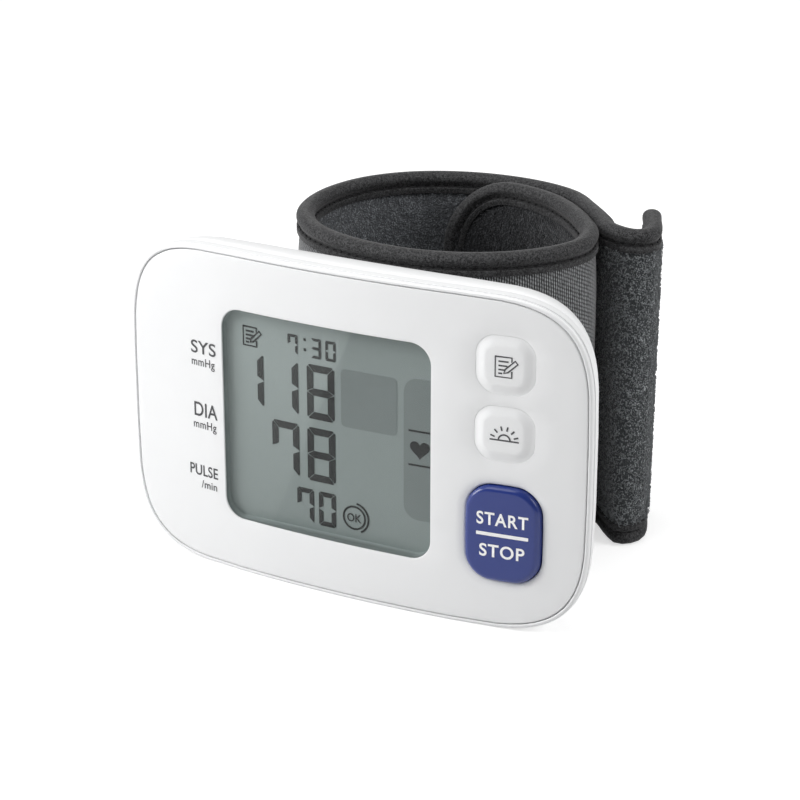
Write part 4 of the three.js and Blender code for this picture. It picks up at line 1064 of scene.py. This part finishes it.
def edgeRoutes(start, end, startRadius=0.0, endRadius=0.0):
    top = cuff["height"]
    bottom = straightRoute(start + startRadius, end - endRadius, 0, -1)
    upper = straightRoute(end - endRadius, start + startRadius, top, 1)
    if startRadius:
        radius, edge, side, turn, steps = startRadius, start, -1, 90, binding["riseSteps"][0]
        before, low, high, after = upper, top - radius, radius, bottom
    elif endRadius:
        radius, edge, side, turn, steps = endRadius, end, 1, -90, binding["riseSteps"][1]
        before, low, high, after = bottom, radius, top - radius, upper
    else:
        return [bottom, upper]
    rise = [(edge, height, (side, 0)) for height in np.linspace(low, high, steps)]
    corners = [cornerRoute(edge - side * radius, height, radius, start)
               for height, start in ((low, turn), (high, turn + 90))]
    return [before + corners[0] + rise + corners[1] + after]


# The place on the binding at a distance across and down from a place of its route
def bindingPoint(station, across, down):
    along, height, out = station
    return cuffPoint(along - out[0] * down, across, height - out[1] * down)


def bindingPiece(name, routes):
    points, uv, faces = [], [], []
    section = bindingSection()
    for route in routes:
        rings, reach, before = [], 0.0, route[0]
        for station in route:
            reach += math.hypot(station[0] - before[0], station[1] - before[1])
            before = station
            rings.append(addRing(points, [bindingPoint(station, across, down) for across, down in section]))
            uv += [(reach, down) for across, down in section]
        faces += sweepFaces(rings) + [tuple(rings[0]), tuple(rings[-1][::-1])]
    return meshPiece(name, points, faces, bindingTape, uv, sharp=60)


# Geometry node trees: each is built with named inputs and ends in Realize Instances and Set Material
socketKinds = {float: "NodeSocketFloat", int: "NodeSocketInt", type(None): "NodeSocketMaterial"}


def startTree(name, **inputs):
    tree = bpy.data.node_groups.new(name, "GeometryNodeTree")
    tree.interface.new_socket("Geometry", in_out="INPUT", socket_type="NodeSocketGeometry")
    for label, value in inputs.items():
        socket = tree.interface.new_socket(label, in_out="INPUT", socket_type=socketKinds[type(value)])
        if value is not None:
            socket.default_value = value
    tree.interface.new_socket("Geometry", in_out="OUTPUT", socket_type="NodeSocketGeometry")
    make = nodeMaker(tree)
    return tree, make, make("NodeGroupInput").outputs


def endTree(make, instances, material):
    real = make("GeometryNodeRealizeInstances", {"Geometry": instances})
    coloured = make("GeometryNodeSetMaterial", {"Geometry": real, "Material": material})
    make("NodeGroupOutput", {"Geometry": coloured})


threadSides = {"stitch": 6, "yarn": 4}


# A length of thread or yarn round a path
def threadNode(make, path, radius, resolution):
    ring = make("GeometryNodeCurvePrimitiveCircle", {"Radius": radius, "Resolution": resolution})
    return make("GeometryNodeCurveToMesh", {"Curve": path, "Profile Curve": ring, "Fill Caps": True})


def stitchTree():
    tree, make, given = startTree("stitches", Pitch=0.0018, Length=0.001, Thread=0.00018)
    spaced = make("GeometryNodeResampleCurve", {"Curve": given["Geometry"], "Length": given["Pitch"]},
                  mode="LENGTH")
    end = make("ShaderNodeCombineXYZ", {"Z": given["Length"]})
    line = make("GeometryNodeCurvePrimitiveLine", {"End": end})
    bar = threadNode(make, line, given["Thread"], threadSides["stitch"])
    turn = make("FunctionNodeAlignRotationToVector", {"Vector": make("GeometryNodeInputTangent")}, axis="Z")
    placed = make("GeometryNodeInstanceOnPoints", {"Points": spaced, "Instance": bar, "Rotation": turn})
    endTree(make, placed, sewingThread)
    return tree


# Loops of yarn on a cloth, each leaning, turned and sized at random
loopSpec = {"steps": 7, "tilt": 75, "leastTurn": (-0.5, -0.5, 0.0), "mostTurn": (0.5, 0.5, 6.28),
            "leastSize": 0.6, "mostSize": 1.15}


def pileTree():
    tree, make, given = startTree("pile", Density=1.0e6, Loop=0.0004, Yarn=0.00006, Sweep=3.6, Seed=7,
                                  Fibre=None)
    spread = make("GeometryNodeDistributePointsOnFaces",
                  {"Mesh": given["Geometry"], "Density": given["Density"], "Seed": given["Seed"]})
    loop = make("GeometryNodeCurveArc", {"Resolution": loopSpec["steps"], "Radius": given["Loop"],
                                         "Sweep Angle": given["Sweep"]})
    upright = make("GeometryNodeTransform", {"Geometry": loop,
                                             "Rotation": (math.radians(loopSpec["tilt"]), 0, 0)})
    yarn = threadNode(make, upright, given["Yarn"], threadSides["yarn"])
    turns = make("FunctionNodeRandomValue", {0: loopSpec["leastTurn"], 1: loopSpec["mostTurn"], "Seed": 3},
                 data_type="FLOAT_VECTOR")
    turned = make("FunctionNodeRotateRotation", {"Rotation": spread.outputs["Rotation"], "Rotate By": turns},
                  rotation_space="LOCAL")
    sizes = make("FunctionNodeRandomValue", {2: loopSpec["leastSize"], 3: loopSpec["mostSize"], "Seed": 5},
                 data_type="FLOAT").outputs[1]
    placed = make("GeometryNodeInstanceOnPoints", {"Points": spread, "Instance": yarn, "Rotation": turned,
                                                   "Scale": sizes})
    endTree(make, placed, given["Fibre"])
    return tree


# Only a linked object shows its modifiers
def growWith(tree, source, name, values):
    change = linked(source).modifiers.new(tree.name, "NODES")
    change.node_group = tree
    for item in tree.interface.items_tree:
        if item.in_out == "INPUT" and item.name in values:
            change[item.identifier] = values[item.name]
    return bakePiece(source, name)


stitches = stitchTree()
pile = pileTree()
stitchSpec = {"across": 1.26, "down": 2.68}


def stitchPiece(name, routes):
    data = bpy.data.curves.new(name + "Path", "CURVE")
    data.dimensions = "3D"
    for route in routes:
        for across in (stitchSpec["across"], -stitchSpec["across"]):
            spline = data.splines.new("POLY")
            spline.points.add(len(route) - 1)
            for point, station in zip(spline.points, route):
                place = bindingPoint(station, across, stitchSpec["down"])
                point.co = (*(value * mm for value in place), 1)
    return growWith(stitches, bpy.data.objects.new(name + "Path", data), name, {})


def pilePiece(name, places, values, rows=6):
    points, faces = [], []
    for along, low in places:
        inset = max(low, binding["marginEnd"])
        column = addRing(points, [cuffPoint(along, -cuff["thickness"] / 2 - cuff["puff"],
                                            inset + row / rows * (cuff["height"] - 2 * inset))
                                  for row in range(rows + 1)])
        if column[0] > 0:
            faces += [(first, first + rows + 1, first + rows + 2, first + 1)
                      for first in range(column[0] - rows - 1, column[0] - 1)]
    return growWith(pile, meshPiece(name + "Ground", points, faces, values["Fibre"]), name, values)


shortPile = {"Density": 1.6e6, "Loop": 0.00026, "Yarn": 0.000045, "Sweep": 3.4, "Seed": 11,
             "Fibre": liningFibre}
# The sleeve's loops use the darker fibre: painted shade on the flap
sleeveShadedPileSpec = {**shortPile, "Fibre": sleeveShadedFibre}
curlyPile = {"Density": 1.9e6, "Loop": 0.00034, "Yarn": 0.00007, "Sweep": 4.4, "Seed": 23, "Fibre": hookFibre}
flatPile = {**curlyPile, "Loop": 0.00022, "Sweep": 3.4}
wrapStart, wrapEnd = wrapPlace - cuff["wrapZone"], wrapPlace + cuff["wrapZone"]
tailStart, tailEnd = tailPlace - cuff["tailBefore"], tailPlace + cuff["tailAfter"]
stretches = (
    {"name": "sleeve", "start": 0, "end": wrapStart, "startRadius": cuff["flapRadius"], "bodies": ["housing"],
     "outer": ["sleeve_outer", "cuff_curler"], "lining": ["sleeve_lining", "air_bladder"],
     "binding": ["sleeve_binding"], "cloth": sleevePile, "pile": sleeveShadedPileSpec},
    {"name": "leftBend", "start": wrapStart, "end": wrapEnd, "bodies": ["housing", "cuff_wrap"],
     "cloth": liningPile, "pile": shortPile},
    {"name": "wrap", "start": wrapEnd, "end": tailStart, "bodies": ["cuff_wrap"],
     "outer": ["wrap_outer", "wrap_foam"], "lining": ["wrap_lining"],
     "binding": ["wrap_binding_top", "wrap_binding_bottom"], "cloth": liningPile, "pile": shortPile},
    {"name": "tailBend", "start": tailStart, "end": tailEnd, "bodies": ["cuff_wrap", "cuff_tail"],
     "cloth": hookPile, "pile": flatPile},
    {"name": "tail", "start": tailEnd, "end": cuffLength, "endRadius": cuff["tailRadius"],
     "bodies": ["cuff_tail"], "outer": ["tail_outer", "tail_foam"], "lining": ["tail_hook_patch"],
     "binding": ["tail_binding"], "cloth": hookPile, "pile": curlyPile},
)


def dressCloth(piece, stretch, slot, kind=None):
    if len(stretch["bodies"]) == 2:
        first, last = (tuple(value * mm for value in cuffPoint(stretch[key], 0, cuff["height"] / 2))
                       for key in ("start", "end"))
        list(stretch["bodies"])
        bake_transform(piece)
        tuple(first)
        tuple(last)
    else:
        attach(piece, stretch["bodies"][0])
    if stretch.get(kind):
        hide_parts(*stretch[kind])


def addStretch(stretch):
    name, half, core = stretch["name"], cuff["thickness"] / 2, cuff["core"]
    radii = [stretch.get("startRadius", 0.0), stretch.get("endRadius", 0.0)]
    places = stations(stretch["start"], stretch["end"], cuff["edgeInset"], *radii)
    outerLayer = stripLayer(name + "Outer", places, half, core, knitCloth)
    liningLayer = stripLayer(name + "Lining", places, -half, -core, stretch["cloth"])
    for piece, slot, kind in ((outerLayer, "knit_fabric", "outer"), (liningLayer, "pile_fabric", "lining")):
        dressCloth(piece, stretch, slot, kind)
    routes = edgeRoutes(stretch["start"], stretch["end"], *radii)
    dressCloth(bindingPiece(name + "Binding", routes), stretch, "binding_tape", "binding")
    dressCloth(stitchPiece(name + "Stitches", routes), stretch, "binding_tape")
    dressCloth(pilePiece(name + "Pile", places, stretch["pile"]), stretch, "pile_fabric")
    print("cuff", name, "made")


for stretch in stretches:
    addStretch(stretch)


# Pieces inside keep their frame shape and get their own finish
innerFinishes = (
    (displayGlass, ["lcd_panel"]), (boardGreen, ["circuit_board"]), (cellJacket, ["battery_1", "battery_2"]),
    (softRubber, ["lcd_connector", "pump_tube", "sensor_tube"]),
    (darkComponent, ["tact_switch_1", "tact_switch_2", "tact_switch_3", "processor", "buzzer",
                     "pressure_sensor"]),
    (innerPlastic, ["pump_head", "air_manifold", "cuff_port"]),
    (steel, ["contact_bridge", "contact_positive", "contact_negative", "pump_motor", "release_valve",
             "case_screw_1", "case_screw_2", "cuff_screw_1", "cuff_screw_2", "cuff_screw_3", "cuff_screw_4"]),
)
for material, names in innerFinishes:
    for name in names:
        nodes[name].data.materials.clear()
        nodes[name].data.materials.append(material)
print("inner pieces finished")


# Stage: a pale floor that shows pure white to the camera but keeps the shadow
stage = {"size": 6000.0, "color": (0.62, 0.62, 0.62), "glow": 0.62, "light": 0.22, "aim": (0, 0, 30.0)}
white = (1, 1, 1, 1)


def addFloor():
    half = stage["size"] / 2
    material, shader, make = startMaterial("floorPaper", 0.9, Base_Color=(*stage["color"], 1),
                                           Emission_Color=white)
    floor = meshPiece("floor", [(-half, -half, 0), (half, -half, 0), (half, half, 0), (-half, half, 0)],
                      [(0, 1, 2, 3)], material)
    path = make("ShaderNodeLightPath").outputs
    seen = calc(make, "MAXIMUM", path["Is Camera Ray"], path["Is Glossy Ray"])
    feed(shader, "Emission Strength", calc(make, "MULTIPLY", seen, stage["glow"]))


def addWorld():
    world = bpy.data.worlds.new("studio")
    world.use_nodes = True
    shaders = world.node_tree.nodes
    make = nodeMaker(world.node_tree)
    shaders["Background"].inputs["Color"].default_value = white
    shaders["Background"].inputs["Strength"].default_value = stage["light"]
    backdrop = make("ShaderNodeBackground", {"Color": white, "Strength": 1.0})
    seen = make("ShaderNodeLightPath").outputs["Is Camera Ray"]
    feed(shaders["World Output"], "Surface", make("ShaderNodeMixShader", {0: seen, 1: shaders["Background"],
                                                                          2: backdrop}))
    bpy.context.scene.world = world


lamps = (
    {"name": "leftBox", "place": (-692, -399, 320), "size": 420, "power": 5.6},
    {"name": "rightBox", "place": (620, 120, 420), "size": 380, "power": 2.8},
    {"name": "topBox", "place": (-60, 120, 760), "size": 500, "power": 1.55},
    {"name": "frontBox", "place": (-60, -150, 260), "size": 150, "power": 0.23},
)


def addLamps():
    for spec in lamps:
        data = bpy.data.lights.new(spec["name"], "AREA")
        data.shape = "SQUARE"
        data.size = spec["size"] * mm
        data.energy = spec["power"]
        lamp = bpy.data.objects.new(spec["name"], data)
        away = np.array(spec["place"]) - np.array(stage["aim"])
        lamp.location = [value * mm for value in spec["place"]]
        flat = math.hypot(away[0], away[1])
        lamp.rotation_euler = (math.atan2(flat, away[2]), 0, math.atan2(away[0], -away[1]))
        bpy.context.scene.collection.objects.link(lamp)


addFloor()
addWorld()
addLamps()
bpy.context.scene.view_settings.view_transform = "Standard"
print("stage set")
